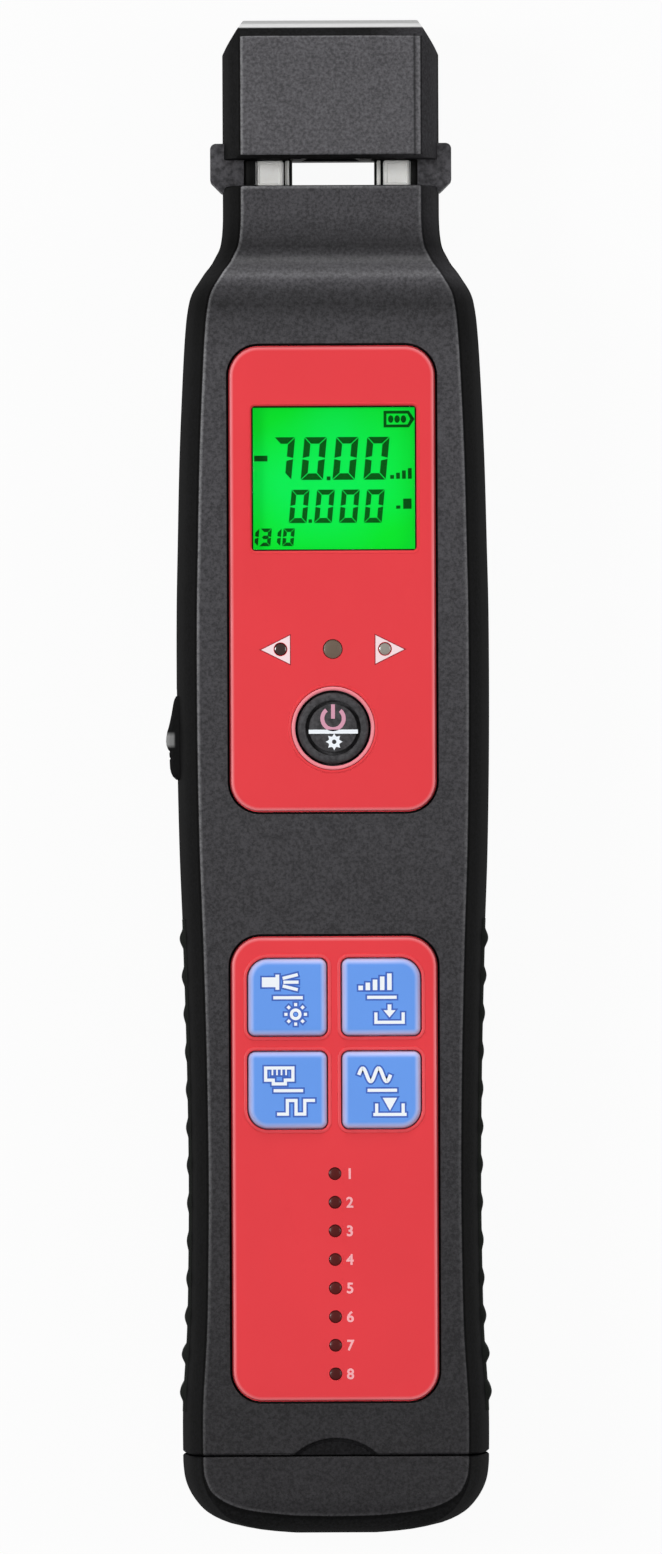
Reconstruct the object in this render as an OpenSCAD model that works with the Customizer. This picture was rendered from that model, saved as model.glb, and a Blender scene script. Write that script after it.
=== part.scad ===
// Hand-held optical fibre identifier, lying on its back.
// +X is to the right as the front is read, +Y runs towards the sensing head, +Z is the front.
// The origin is on the flat back, on the centre line, half way along the length.

/* [Body] */
// Length over head and end cover
body_len = 200; // [190:1:215]
// Width at the widest part of the body
body_w = 41.3; // [40.6:0.1:44]
// Height of the front face above the flat back
body_d = 29; // [28.6:0.1:32]
// Height of the joint between front and rear shell
part_z = 14; // [13.8:0.1:14.3]
// Thickness of the side and back walls
wall = 1.8; // [1.5:0.1:2]
// Thickness of the front wall
face_wall = 2.4; // [2.2:0.1:2.6]
// Width of the sloping side band as seen from the front
side_band = 2.6; // [2.2:0.1:3]
// Radius of the long edges at the back
back_r = 6; // [5:0.5:6.5]
// Size of the fine bevel round the front face
edge = 0.45; // [0.3:0.05:0.6]

/* [Head and slot] */
// Length of the sensing head
head_len = 18.1; // [17.5:0.1:20]
// Gap between head and neck that takes the fibre
slot_gap = 3.6; // [3.2:0.1:4]
// Width of head and neck
neck_w = 28.6; // [28.2:0.1:29.4]
// Width over the two ears
ears_w = 32; // [31.4:0.1:33]
// Length of an ear along the body
ear_len = 7.2; // [6.8:0.1:8]
// Height of the ledge on which the fibre lies
ledge_z = 17; // [16.5:0.1:17.5]
// Width of the head's corner chamfer across the body
head_cut_x = 2.8; // [2.4:0.1:3.2]
// Length of the head's corner chamfer along the body
head_cut_y = 4.1; // [3.5:0.1:4.5]
// Width of the opening seen through the slot
slot_view_w = 11.2; // [11:0.1:11.6]

/* [Clamp] */
// Travel of the thumb slider and its plunger
clamp_travel = 3; // [2.4:0.1:3.1]
// Length of the thumb pad
pad_len = 11.1; // [10.5:0.1:12]
// Height of the thumb pad above the side
pad_out = 1.5; // [1.2:0.1:1.9]
// Depth of the thumb pad from front to back
pad_d = 10; // [9:0.5:11]
// Radius of the plunger rod
rod_r = 1.8; // [1.6:0.1:2]
// Width of the plunger nose
nose_w = 10; // [9:0.2:10.4]

/* [Front panels] */
// Width of both faceplates
plate_w = 27.3; // [26.8:0.1:28]
// Length of the upper faceplate
upper_len = 61.6; // [60:0.1:63]
// Length of the lower faceplate
lower_len = 61.3; // [60:0.1:63]
// Distance from the head's end to the upper faceplate
upper_from_end = 43; // [42:0.1:44]
// Distance between the two faceplates
plate_gap = 16.6; // [15:0.1:18]
// Corner radius of the faceplates
plate_r = 4; // [3:0.1:5]
// Thickness of a faceplate
plate_t = 1; // [0.8:0.1:1.1]
// Width of the display window
lcd_w = 22; // [20:0.1:22.4]
// Height of the display window along the body
lcd_len = 19.3; // [18:0.1:20]

/* [Keys and lamps] */
// Width of a blue key
key_w = 10.3; // [9.6:0.1:10.6]
// Length of a blue key
key_len = 10.1; // [9.6:0.1:10.4]
// Distance between key centres across the body
key_pitch_x = 12.4; // [12.2:0.1:12.8]
// Distance between key centres along the body
key_pitch_y = 12.3; // [12.1:0.1:12.8]
// Radius of a key's outermost corner
key_big_r = 2.6; // [2:0.1:3.2]
// Radius of a key's other corners
key_small_r = 0.9; // [0.6:0.1:1.2]
// Height of the keys above the faceplate
key_rise = 0.8; // [0.5:0.1:1]
// Travel of every key
key_travel = 0.8; // [0.5:0.05:0.9]
// Radius of the power key
power_r = 4.7; // [4.3:0.1:4.9]
// Distance between neighbouring lamps of the wire map
lamp_pitch = 3.78; // [3.6:0.02:3.9]
// Number of wire map lamps
lamp_count = 8; // [6:1:8]
// Radius of a wire map lamp
lamp_r = 0.85; // [0.7:0.05:0.95]

/* [Grips] */
// Number of ridges on each grip
ridge_count = 13; // [9:1:14]
// Distance between neighbouring ridges
ridge_pitch = 5; // [4.6:0.1:5.1]
// Height of a ridge
ridge_out = 0.5; // [0.3:0.05:0.7]
// Depth of a grip strip from front to back
grip_d = 13; // [11:0.5:14]

/* [Ports and cover] */
// Length of the hinged end cover
cap_len = 10.1; // [9.9:0.1:10.6]
// Joint between cover and body
cap_gap = 0.25; // [0.2:0.05:0.35]
// Height of the cover's hinge axis above the back
hinge_z = 8; // [7.8:0.1:8.2]
// Radius of the hinge pin
pin_r = 0.8; // [0.7:0.05:0.9]
// Radius of the hole for a standard ferrule
ferrule_r = 1.26; // [1.255:0.005:1.28]
// Depth of the ferrule holes
ferrule_len = 8; // [7:0.5:9]
// Sideways distance of both optical ports from the centre line
port_x = 12.4; // [12.2:0.1:12.6]
// Width of the modular jack
jack_w = 14.6; // [14.2:0.1:14.8]
// Height of the modular jack
jack_h = 11.4; // [11:0.1:11.6]

/* [Battery] */
// Radius of one cell
cell_r = 5.25; // [5.2:0.05:5.3]
// Length of one cell over its contact stud
cell_len = 44.5; // [44:0.1:45]
// Width of the battery door
door_w = 28; // [27.6:0.1:28.4]
// Length of the battery door
door_len = 66; // [65.4:0.1:67]

/* [Hidden] */

// Smoothness of true round shapes
$fn = 48;
// Overrun of every cut past the face that it opens
over = 1;
// Clearance of pieces that sit still against each other
seat = 0.05;
// Running clearance of a shaft in its bore
run = 0.05;
// Clearance round a piece that slides
slide = 0.2;
// Half of a width
half = 0.5;
// Thickness of the walls on both sides of the slot
neck_wall = 3.2;

// Ends of head, slot, neck and body along Y
y_top = body_len * half;
y_end = -y_top;
y_slot = y_top - head_len;
y_neck = y_slot - slot_gap;
y_cap = y_end + cap_len;

// Half widths along the body as [share of half the length, share of half the width]
side_shares = [
    [1, 0.6925], [0.71, 0.6925], [0.699, 0.715], [0.689, 0.74], [0.678, 0.769], [0.668, 0.808],
    [0.657, 0.843], [0.647, 0.875], [0.636, 0.901], [0.615, 0.923], [0.583, 0.939],
    [0.498, 0.962], [0.419, 0.978], [0.3, 0.992], [0.22, 1], [0.05, 1], [-0.1, 0.987],
    [-0.2, 0.969], [-0.3, 0.954], [-0.4, 0.943], [-0.53, 0.936], [-0.63, 0.94],
    [-0.73, 0.951], [-0.83, 0.98], [-0.89, 0.981], [-0.911, 0.978], [-0.931, 0.962],
    [-0.951, 0.917], [-0.971, 0.83], [-0.985, 0.7], [-0.994, 0.46], [-1, 0.08]
];
// Height of the front face as [share of half the length, share of the depth]
front_shares = [
    [1, 0.903], [0.699, 0.903], [0.689, 0.912], [0.657, 0.99], [0.636, 1], [-0.951, 1],
    [-0.971, 0.985], [-0.985, 0.955], [-0.994, 0.91], [-1, 0.83]
];
// Height of the back as [share of half the length, share of the depth]
back_shares = [
    [1, 0.103], [0.689, 0.103], [0.583, 0.045], [0.498, 0.015], [0.419, 0], [-0.75, 0],
    [-0.78, 0.015], [-0.81, 0.04], [-0.84, 0.08], [-0.87, 0.125], [-0.911, 0.185],
    [-0.951, 0.22], [-0.971, 0.25], [-0.985, 0.29], [-0.994, 0.34], [-1, 0.42]
];
// Places of the rings that carry the body's skin, as shares of half the length
ring_shares = [
    1, 0.71, 0.699, 0.689, 0.678, 0.668, 0.657, 0.647, 0.636, 0.615, 0.583, 0.498, 0.419, 0.3,
    0.22, 0.05, -0.1, -0.2, -0.3, -0.4, -0.53, -0.63, -0.73, -0.75, -0.78, -0.81, -0.84, -0.87,
    -0.89, -0.911, -0.931, -0.951, -0.971, -0.985, -0.994, -1
];
// Bulge of the side band as [share of its width, share of its height]
band_shares = [[0.2, 0.45], [0.5, 0.78]];

function half_w(y) = body_w * half * lookup(y / y_top, side_shares) * neck_scale(y);
function neck_share(y) = lookup(y / y_top, [[0.615, 0], [0.71, 1]]);
function neck_scale(y) = 1 + neck_share(y) * (neck_w / (body_w * side_shares[0][1]) - 1);
function front_z(y) = body_d * lookup(y / y_top, front_shares);
function back_z(y) = body_d * lookup(y / y_top, back_shares);
function mirrored(pts) = concat(pts, [for (i = [len(pts) - 1 : -1 : 0]) [-pts[i][0], pts[i][1]]]);
function lift(pts, y) = [for (p = pts) [p[0], y, p[1]]];

// Outline of the body across its length, right half from the back to the front
function skin_half(y) = let (
    w = half_w(y), zb = back_z(y), zf = front_z(y),
    r = min(back_r, w * 0.6, (part_z - zb) * 0.9), s = min(side_band, w * 0.3)
) [
    [w - r, zb], [w - r * (1 - sin(30)), zb + r * (1 - cos(30))],
    [w - r * (1 - sin(60)), zb + r * (1 - cos(60))], [w, zb + r], [w, part_z],
    for (b = band_shares) [w - s * b[0], part_z + b[1] * (zf - part_z)],
    [w - s, zf - edge], [w - s - edge, zf]
];
// Outline of the space inside the body, right half
function hollow_half(y, gap = 0) = let (
    w = half_w(y) - wall - gap, zb = back_z(y) + wall + gap, zf = front_z(y) - face_wall - gap
) [
    [w - back_r * half, zb], [w, zb + back_r * half], [w, part_z],
    [w - side_band * band_shares[1][0], part_z + band_shares[1][1] * (zf - part_z)],
    [w - side_band - edge, zf]
];

module loft(rings) {
    n = len(rings[0]);
    m = len(rings);
    polyhedron(
        [for (r = rings) each r],
        concat(
            [[for (i = [0 : n - 1]) i]],
            [[for (i = [n - 1 : -1 : 0]) (m - 1) * n + i]],
            [for (k = [0 : m - 2], i = [0 : n - 1])
                [k * n + i, (k + 1) * n + i, (k + 1) * n + (i + 1) % n]],
            [for (k = [0 : m - 2], i = [0 : n - 1])
                [k * n + i, (k + 1) * n + (i + 1) % n, k * n + (i + 1) % n]]
        )
    );
}
// Solid between two corners given as [low, high] on each axis
module span(x, y, z) {
    translate([x[0], y[0], z[0]]) cube([x[1] - x[0], y[1] - y[0], z[1] - z[0]]);
}
module post(r, x, y, z) {
    translate([x, y, z[0]]) cylinder(r = r, h = z[1] - z[0]);
}
module along_y(r, x, y, z) {
    translate([x, y[1], z]) rotate([90, 0, 0]) cylinder(r = r, h = y[1] - y[0]);
}
module along_x(r, x, y, z) {
    translate([x[0], y, z]) rotate([0, 90, 0]) cylinder(r = r, h = x[1] - x[0]);
}
// Flat shape drawn in X and Z, with its thickness along Y
module slab_y(pts, y) {
    translate([0, y[1], 0]) rotate([90, 0, 0]) linear_extrude(y[1] - y[0]) polygon(pts);
}
module both_sides() {
    children();
    mirror([1, 0, 0]) children();
}
function arc(c, r, a) = [for (i = [0 : 6]) c + r * [cos(a + i * 15), sin(a + i * 15)]];
// Rectangle round c with corner radii in the order of the quadrants
function round_box(c, w, l, r) = concat(
    arc(c + [w * half - r[0], l * half - r[0]], r[0], 0),
    arc(c + [-w * half + r[1], l * half - r[1]], r[1], 90),
    arc(c + [-w * half + r[2], -l * half + r[2]], r[2], 180),
    arc(c + [w * half - r[3], -l * half + r[3]], r[3], 270)
);
module sheet(pts, z) {
    translate([0, 0, z[0]]) linear_extrude(z[1] - z[0]) polygon(pts);
}
// Wound wire along Y round the axis at x, z
module coil(x, y, z, r, wire, turns) {
    steps = turns * 10;
    loft([for (k = [0 : steps])
        let (a = k / steps * turns * 360, yc = y[0] + wire + (y[1] - y[0] - 2 * wire) * k / steps)
        [for (j = [0 : 5])
            let (b = j * 60, q = r + wire * cos(b))
            [x + q * cos(a), yc + wire * sin(b), z + q * sin(a)]]
    ]);
}

module body_skin() {
    loft([for (s = ring_shares) lift(mirrored(skin_half(s * y_top)), s * y_top)]);
}
module body_hollow() {
    ys = concat(
        [y_neck - neck_wall],
        [for (s = ring_shares) if (s * y_top < y_neck - 2 * neck_wall && s * y_top > y_cap + wall)
            s * y_top],
        [y_cap - over]
    );
    loft([for (y = ys) lift(mirrored(hollow_half(y)), y)]);
}

// Levels of what is stacked from the back to the front
face_z = body_d;
roof_z = face_z - face_wall;
recess_z = face_z - plate_t - 2 * seat;
plate_top = recess_z + plate_t;
// Thickness of the main board
board_t = 1.6;
// Height of the main board's underside above the joint of the shells
board_lift = 3;
board_z = part_z + board_lift;
board_top = board_z + board_t;
// Height of the switches on the board
switch_h = 3.4;
switch_top = board_top + switch_h;

// Places of faceplates and what they show
upper_y = [y_top - upper_from_end - upper_len, y_top - upper_from_end];
lower_y = [upper_y[0] - plate_gap - lower_len, upper_y[0] - plate_gap];
upper_mid = (upper_y[0] + upper_y[1]) * half;
lower_mid = (lower_y[0] + lower_y[1]) * half;
// Distances of display, lamps and power key from the upper faceplate's top edge
lcd_drop = 17.45;
direction_drop = 40.1;
power_drop = 50.55;
lcd_y = upper_y[1] - lcd_drop;
direction_y = upper_y[1] - direction_drop;
power_y = upper_y[1] - power_drop;
// Sideways distance of the direction lamps
direction_x = 6.9;
// Radii of the direction lamps and the signal lamp
direction_r = 0.8;
signal_r = 1.25;
// Width of the power key's rim and of the groove round the key
rim_w = 0.45;
key_slot = 0.35;
rim_r = power_r + key_slot + rim_w;
// Distances of keys and lamps from the lower faceplate's top edge
key_drop = 8.05;
lamp_drop = 31.3;
key_xs = [-key_pitch_x * half, key_pitch_x * half];
key_ys = [lower_y[1] - key_drop, lower_y[1] - key_drop - key_pitch_y];
lamp_y0 = lower_y[1] - lamp_drop;
lamp_y1 = lamp_y0 - lamp_pitch * (lamp_count - 1);
// Clearance round each key
key_gap = 0.2;
// How far a key's collar stands out under the shell, and its thickness
collar = 0.6;
collar_t = 1;
// Radius of a key's stem and of the hole for it
stem_r = 1.6;
stem_hole_r = stem_r + slide;

// Lower end, where cover and ports are
// Distance of the hinge axis from the joint
hinge_in = 2.7;
hinge_y = y_cap - hinge_in;
// Radius of a hinge knuckle
knuckle_r = 2.2;
// Half length of the cover's knuckle and length of each knuckle on the shell
knuckle_x = 7;
knuckle_len = 4;
knuckle_gap = 0.3;
// Top of the sill that carries the port plate
sill_rise = 1.2;
sill_z = hinge_z + sill_rise;
port_plate_t = 2;
port_plate_y = [y_cap + cap_gap, y_cap + cap_gap + port_plate_t];
sill_y = [y_cap + seat, port_plate_y[1] + wall];
// Heights of the ports
meter_rise = 6.2;
laser_rise = 5.2;
torch_rise = 8;
meter_z = sill_z + meter_rise;
laser_z = sill_z + laser_rise;
jack_z = [sill_z + slide, sill_z + slide + jack_h];
torch_z = laser_z + torch_rise;
// Radii of the ports' bodies
meter_r = 4.6;
laser_r = 3.7;
torch_r = 2.5;
jack_len = 15.5;

// Battery, door and the rails that carry it
door_gap = 0.2;
// Height of the door's face above the surface that the back rests on
door_lift = 0.3;
door_t = 1.8;
lip_w = 1.2;
lip_t = 1.2;
lip_z = [door_lift + door_t, door_lift + door_t + lip_t];
// Thickness of the frame over the door's lips
frame_t = 1.6;
frame_top = lip_z[1] + door_gap + frame_t;
frame_w = door_w + 2 * lip_w + 2 * door_gap + 2 * wall;
tub_wall = 1;
cell_gap = 0.2;
// Distance from the door to the cells and to the tub
cell_rise = 0.6;
tub_rise = 0.3;
cell_z = door_lift + door_t + cell_rise + cell_r;
cell_x = cell_r + cell_gap;
spring_len = 4;
contact_t = 0.4;
tub_w = 4 * cell_r + 4 * cell_gap + 2 * tub_wall;
tub_len = cell_len + spring_len + 2 * contact_t + 2 * cell_gap + 2 * tub_wall;
tub_flange = 1.4;
tub_flange_t = 1;
// Height of the lower screw columns above the joint of the end cover
low_column_rise = 22.9;
low_column_y = y_cap + low_column_rise;
// Radius of the columns that take the case screws
column_r = 2.8;
// The tub begins above the lower columns, and the door ends above the tub
tub_room = 0.9;
tub_y0 = low_column_y + column_r + tub_flange + tub_room;
tub_y = [tub_y0, tub_y0 + tub_len];
tub_z = [door_lift + door_t + tub_rise, cell_z + cell_r + cell_gap + tub_wall];
door_over = 1.2;
door_y = [tub_y[1] + door_over - door_len, tub_y[1] + door_over];
cell_y = [tub_y[0] + tub_wall + contact_t + cell_gap + spring_len * half,
    tub_y[0] + tub_wall + contact_t + cell_gap + spring_len * half + cell_len];

// Clamp: slider, plate, rod and nose
// Distance of the thumb pad's lower end from the middle of the power key
pad_below = 6.75;
pad_y = [power_y - pad_below, power_y - pad_below + pad_len];
pad_mid = (pad_y[0] + pad_y[1]) * half;
shank_low = 3.5;
shank_high = 2.5;
shank_z = [part_z - shank_low, part_z + shank_high];
shank_len = 6.5;
// Reach of the shank into the body past the wall
shank_in = 2.6;
rod_drop = 1.5;
rod_z = part_z - rod_drop;
sheet_t = 1.2;
flange_r = 3.4;
flange_t = 1.2;
guide_plate_t = 1.5;
guide_len = 8.6;
guide_y = [y_neck - neck_wall - guide_len, y_neck - neck_wall - seat];
nose_low = 3;
nose_high = 9;
nose_z = [rod_z - nose_low, rod_z + nose_high];
// Room behind the nose at full travel, and how far the nose stays back from the slot
nose_room = 0.6;
nose_back = 0.3;
nose_y = [guide_y[0] + guide_plate_t + clamp_travel + nose_room, y_neck - nose_back];
rod_tail = 11.5;
rod_y = [guide_y[0] - rod_tail, nose_y[0]];
flange_y = [rod_y[0], rod_y[0] + flange_t];
guide_side = 4;
guide_floor = 1.2;
guide_roof = 0.8;
guide_w = nose_w + 2 * guide_side;
guide_z = [nose_z[0] - guide_floor, nose_z[1] + guide_roof];
// Room and wire of the return spring
spring_gap = 0.9;
spring_wire = 0.35;
spring_turns = 6;
// The strip that joins shank and rod: outer and inner edge of its lane, and its foot at the rod
lane = [-11.5, -8.5];
foot_len = 5;
foot_x = 4;
// Gap between thumb pad and body, and the pad's lowest edge above that
pad_clear = 0.15;
pad_edge = 0.2;

// Head, ears and what lies in the slot
head_part_drop = 2;
head_part_z = part_z - head_part_drop;
head_front = front_z(y_top);
ear_in = 1.6;
ear_y = [y_neck - ear_in, y_neck - ear_in + ear_len];
ear_base = 6;
ear_z = [ear_base, ledge_z];
ear_cut = 1.5;
ear_r = 0.7;
post_w = 1.65;
pad_w = 3.75;
strip_w = 0.5;
pad_x = slot_view_w * half + strip_w;
post_x = pad_x + pad_w;
ear_x = post_x + post_w;
slot_y = [y_neck + seat, y_slot - seat];
// Places of the two tie rods and of the detector's lead
tie_in = 2.3;
rod_x = pad_x + tie_in;
tie_r = 1.2;
tie_gap = 0.4;
tie_z = back_z(y_top) + wall + tie_r + tie_gap;
tie_reach = 8;
tie_y = [y_neck - tie_reach, y_slot + tie_reach];
// Half width of the bosses that hold the rods, their cover above a rod and past its end
boss_half = 2;
boss_cover = [0.6, 0.8];
boss_end = [2, 0.6];
lead_r = 0.5;
lead_out = 2.5;
lead_rise = 1.4;
lead_x = rod_x + lead_out;
lead_z = tie_z + lead_rise;
// Steps of the slot's ledge below its top
post_step = 0.5;
pad_step = 1;
strip_step = 4;
lead_gap = 1.2;
lead_bend = 2;
anvil_len = 4.5;
anvil_side = 0.4;
anvil_w = nose_w + 2 * anvil_side;
nose_tip_r = 9;
anvil_dip = 0.9;
diode_r = 2.3;
diode_x = 2.9;
diode_len = 3.5;

// Screws: columns that take them, shank and head
// Rim of the display's glass outside its window: at the sides, and at both ends
glass_rim = 0.8;
glass_end = 1.5;
column_room = 0.3;
column_up = 7.45;
low_column_x = 9.5;
column_xy = [[lcd_w * half + glass_rim + column_r + column_room, lcd_y + column_up],
    [low_column_x, low_column_y]];
screw_r = 0.95;
screw_hole = 1.25;
screw_grip = 1;
screw_head_r = 1.9;
screw_head_t = 1.3;
// Depth of the screw heads in the back and above the door's frame
screw_sink = 2.4;
low_sink = 1.2;
screw_depth = [screw_sink, frame_top + low_sink];
// How far the screws bite into shell, head, board posts
case_bite = 6;
head_bite = 5;
board_bite = 2;
hole_end = 2;
// Distances of the main board from the body's sides, the plunger's guide and the lower columns
board_side = 4.65;
board_back = 5;
board_w = body_w - 2 * board_side;
board_y = [low_column_y + column_r + slide, guide_y[0] - board_back];
board_post_r = 2;
// Board screws: one pair by the board's upper corners, two pairs on the battery tub
corner_x = 2.5;
corner_y = 4;
tub_screw_in = 2.9;
tub_screw_y = [6.9, 4.8];
tub_screw_x = tub_w * half - tub_screw_in;
board_screw_xy = [[board_w * half - corner_x, board_y[1] - corner_y],
    [tub_screw_x, tub_y[1] - tub_screw_y[1]], [tub_screw_x, tub_y[0] + tub_screw_y[0]]];
lamp_board_gap = 1;
lamp_board_t = 1;
lamp_board_z = [jack_z[1] + lamp_board_gap, jack_z[1] + lamp_board_gap + lamp_board_t];
// How far the lamp board reaches past its end lamps
lamp_board_past = [2.2, 1.5];
lamp_board_y = [lamp_y1 - lamp_board_past[0], lamp_y0 + lamp_board_past[1]];
lamp_board_w = 8;
// Gap under the front wall, thickness of glass and light guide
roof_gap = 0.1;
glass_t = 1.8;
light_t = 2.2;
glass_z = [roof_z - roof_gap - glass_t, roof_z - roof_gap];
light_z = [glass_z[0] - light_t, glass_z[0]];
ridge_drop = 0.2;
ridge_y = lower_y[1] - ridge_drop;
grip_end = 2.6;
low_share = 0.4;
grip_y = [ridge_y - ridge_pitch * (ridge_count - 1) - grip_end, ridge_y + grip_end];
grip_low = 7;
grip_z = [part_z - grip_low, part_z - grip_low + grip_d];
grip_t = 1.2;
ridge_r = 1.05;
notch_w = 11.2;
notch_len = 2.2;
notch_r = (notch_w * notch_w / 4 + notch_len * notch_len) / (2 * notch_len);
notch_d = 1.6;

function key_outline(i, j, gap) = let (c = [key_xs[i], key_ys[j]]) round_box(
    c, key_w + 2 * gap, key_len + 2 * gap,
    [for (q = [[1, 0], [0, 0], [0, 1], [1, 1]]) (q == [i, j] ? key_big_r : key_small_r) + gap]
);
function grip_side(y0, y1, inset) = [for (i = [0 : 12])
    let (y = y0 + (y1 - y0) * i / 12) [half_w(y) - inset, y]];

// Ridges are full height at both ends of the grip and lower in the middle
function ridge_height(i) = let (middle = (ridge_count - 1) * half)
    ridge_out * (low_share + (1 - low_share) * pow((i - middle) / middle, 2));
function ridged_side() = concat(
    [[half_w(grip_y[0]), grip_y[0]]],
    [for (i = [ridge_count - 1 : -1 : 0], k = [-3 : 3])
        let (y = ridge_y - i * ridge_pitch + k / 3 * ridge_r)
        [half_w(y) + ridge_height(i) * cos(k * 30), y]],
    [[half_w(grip_y[1]), grip_y[1]]]
);

// Outline of one grip strip in the plan, with room round it
module grip_strip(gap) {
    outer = gap > 0 ? grip_side(grip_y[0] - gap, grip_y[1] + gap, -over) : ridged_side();
    inner = grip_side(grip_y[1] + gap, grip_y[0] - gap, grip_t + gap);
    sheet(concat(outer, inner), [grip_z[0] - gap, grip_z[1] + gap]);
}
module ear_pocket() {
    both_sides() span([ear_x - seat, body_w], [ear_y[0] - seat, ear_y[1] + seat],
        [ear_z[0] - seat, ear_z[1] + seat]);
}
module slider_slot() {
    x = body_w * half;
    y = [pad_mid - shank_len * half - slide, pad_mid + shank_len * half + clamp_travel + slide];
    span([-x - over, -x + wall + over], y, [shank_z[0] - slide, shank_z[1] + slide]);
}
module nose_window() {
    x = nose_w * half + slide;
    span([-x, x], [y_neck - neck_wall - over, y_neck + over], [nose_z[0] - slide, nose_z[1] + slide]);
}
module columns(z) {
    both_sides() for (c = column_xy) post(column_r, c[0], c[1], z);
}
module plate_sheet(mid, len, gap, z) {
    sheet(round_box([0, mid], plate_w + 2 * gap, len + 2 * gap, (plate_r + gap) * [1, 1, 1, 1]), z);
}
module key_holes(gap, z) {
    for (i = [0, 1], j = [0, 1]) sheet(key_outline(i, j, gap), z);
}
module lamp_holes(r, z) {
    for (i = [0 : lamp_count - 1]) post(r, 0, lamp_y0 - i * lamp_pitch, z);
}
module front_holes(z) {
    post(rim_r + seat, 0, power_y, z);
    post(signal_r + seat, 0, direction_y, z);
    both_sides() post(direction_r + seat, direction_x, direction_y, z);
    key_holes(key_gap, z);
    lamp_holes(lamp_r + seat, z);
}

module front_shell() {
    through = [roof_z - over, face_z + over];
    color([0.27, 0.27, 0.285]) difference() {
        union() {
            difference() {
                intersection() {
                    body_skin();
                    span([-body_w, body_w], [y_cap, y_neck], [part_z, face_z + over]);
                }
                body_hollow();
            }
            intersection() {
                body_skin();
                columns([part_z, roof_z + seat]);
            }
        }
        plate_sheet(upper_mid, upper_len, key_slot, [recess_z, face_z + over]);
        plate_sheet(lower_mid, lower_len, key_slot, [recess_z, face_z + over]);
        span([-lcd_w * half + slide, lcd_w * half - slide],
            [lcd_y - lcd_len * half + slide, lcd_y + lcd_len * half - slide], through);
        front_holes(through);
        grip_pockets();
        ear_pocket();
        slider_slot();
        nose_window();
        both_sides() for (c = column_xy)
            post(screw_grip, c[0], c[1], [part_z - over, part_z + case_bite + hole_end]);
        post(notch_r, 0, y_cap + notch_len - notch_r, [face_z - notch_d, face_z + over]);
    }
}
module grip_pockets() {
    both_sides() grip_strip(seat);
}

module rear_shell() {
    x = frame_w * half;
    color([0.11, 0.11, 0.115]) difference() {
        union() {
            difference() {
                intersection() {
                    body_skin();
                    span([-body_w, body_w], [y_cap, y_neck], [-over, part_z]);
                }
                body_hollow();
            }
            intersection() {
                body_skin();
                union() {
                    span([-x, x], [y_cap, door_y[1] + wall], [0, frame_top]);
                    span([-x, x], [y_cap, sill_y[1]], [0, sill_z]);
                    columns([0, part_z]);
                    both_sides() span([rod_x - boss_half, rod_x + boss_half],
                        [tie_y[0] - boss_end[0], y_neck - wall],
                        [back_z(y_top), tie_z + tie_r + boss_cover[0]]);
                }
            }
            both_sides() post(board_post_r, board_screw_xy[0][0], board_screw_xy[0][1],
                [back_z(board_screw_xy[0][1]) + wall * half, board_z]);
            both_sides() shell_knuckle();
        }
        door_pocket();
        battery_opening();
        grip_pockets();
        ear_pocket();
        slider_slot();
        nose_window();
        both_sides() along_y(tie_r + seat, rod_x, [tie_y[0], y_neck + over], tie_z);
        along_y(lead_r + slide, -lead_x, [y_neck - neck_wall - over, y_neck + over], lead_z);
        both_sides() for (i = [0, 1]) {
            post(screw_hole, column_xy[i][0], column_xy[i][1], [0, part_z + over]);
            post(screw_head_r + slide, column_xy[i][0], column_xy[i][1], [-over, screw_depth[i]]);
        }
        both_sides() post(screw_grip, board_screw_xy[0][0], board_screw_xy[0][1],
            [board_z - board_bite - 2 * hole_end, board_z + over]);
        along_x(pin_r + seat * half, [-body_w, body_w], hinge_y, hinge_z);
    }
}
module shell_knuckle() {
    x = [knuckle_x + knuckle_gap, knuckle_x + knuckle_gap + knuckle_len];
    along_x(knuckle_r, x, hinge_y, hinge_z);
    span(x, [hinge_y, y_cap + over], [hinge_z - knuckle_r, sill_z]);
}
module door_pocket() {
    x = door_w * half + door_gap;
    span([-x, x], [y_end, door_y[1] + door_gap], [-over, lip_z[0]]);
    span([-x - lip_w, x + lip_w], [y_end, door_y[1] + door_gap], [lip_z[0] - door_gap, lip_z[1] + door_gap]);
}
module battery_opening() {
    x = tub_w * half + seat;
    span([-x, x], [tub_y[0] - seat, tub_y[1] + seat], [-over, frame_top + over]);
}

// Bevels of the head's end: back from the end, down from the front, and at the back
crest_y = [1.85, 0.8];
crest_z = [1.2, 4.2];
chin = 2;
// Head: plan, section across and side profile meet in one shape
module head_shape() {
    x = neck_w * half;
    base = back_z(y_top);
    top = [[y_slot, -over], [y_slot, head_front + over], [y_top - crest_y[0], head_front + over],
        [y_top - crest_y[0], head_front], [y_top - crest_y[1], head_front - crest_z[0]],
        [y_top, head_front - crest_z[1]], [y_top, base + chin], [y_top - chin, base], [y_top - chin, -over]];
    intersection() {
        slab_y(mirrored(skin_half(y_top)), [y_slot, y_top]);
        sheet([[-x, y_slot], [x, y_slot], [x, y_top - head_cut_y], [x - head_cut_x, y_top],
            [-x + head_cut_x, y_top], [-x, y_top - head_cut_y]], [-over, body_d + over]);
        translate([-body_w, 0, 0]) rotate([90, 0, 90]) linear_extrude(2 * body_w) polygon(top);
    }
}
module head_space() {
    slab_y(mirrored(hollow_half(y_top)), [y_slot + neck_wall, y_top - 2 * wall]);
}
module anvil_window() {
    x = anvil_w * half + seat;
    span([-x, x], [y_slot - over, y_slot + neck_wall + over], [nose_z[0] - seat, nose_z[1] + seat]);
}
// Head screws: distance from the head's side and end, and radii of their posts
head_screw_in = 4.7;
head_screw_back = 5.5;
head_screw_x = neck_w * half - head_screw_in;
head_screw_y = y_top - head_screw_back;
head_post_r = [2.2, 2.6];

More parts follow.
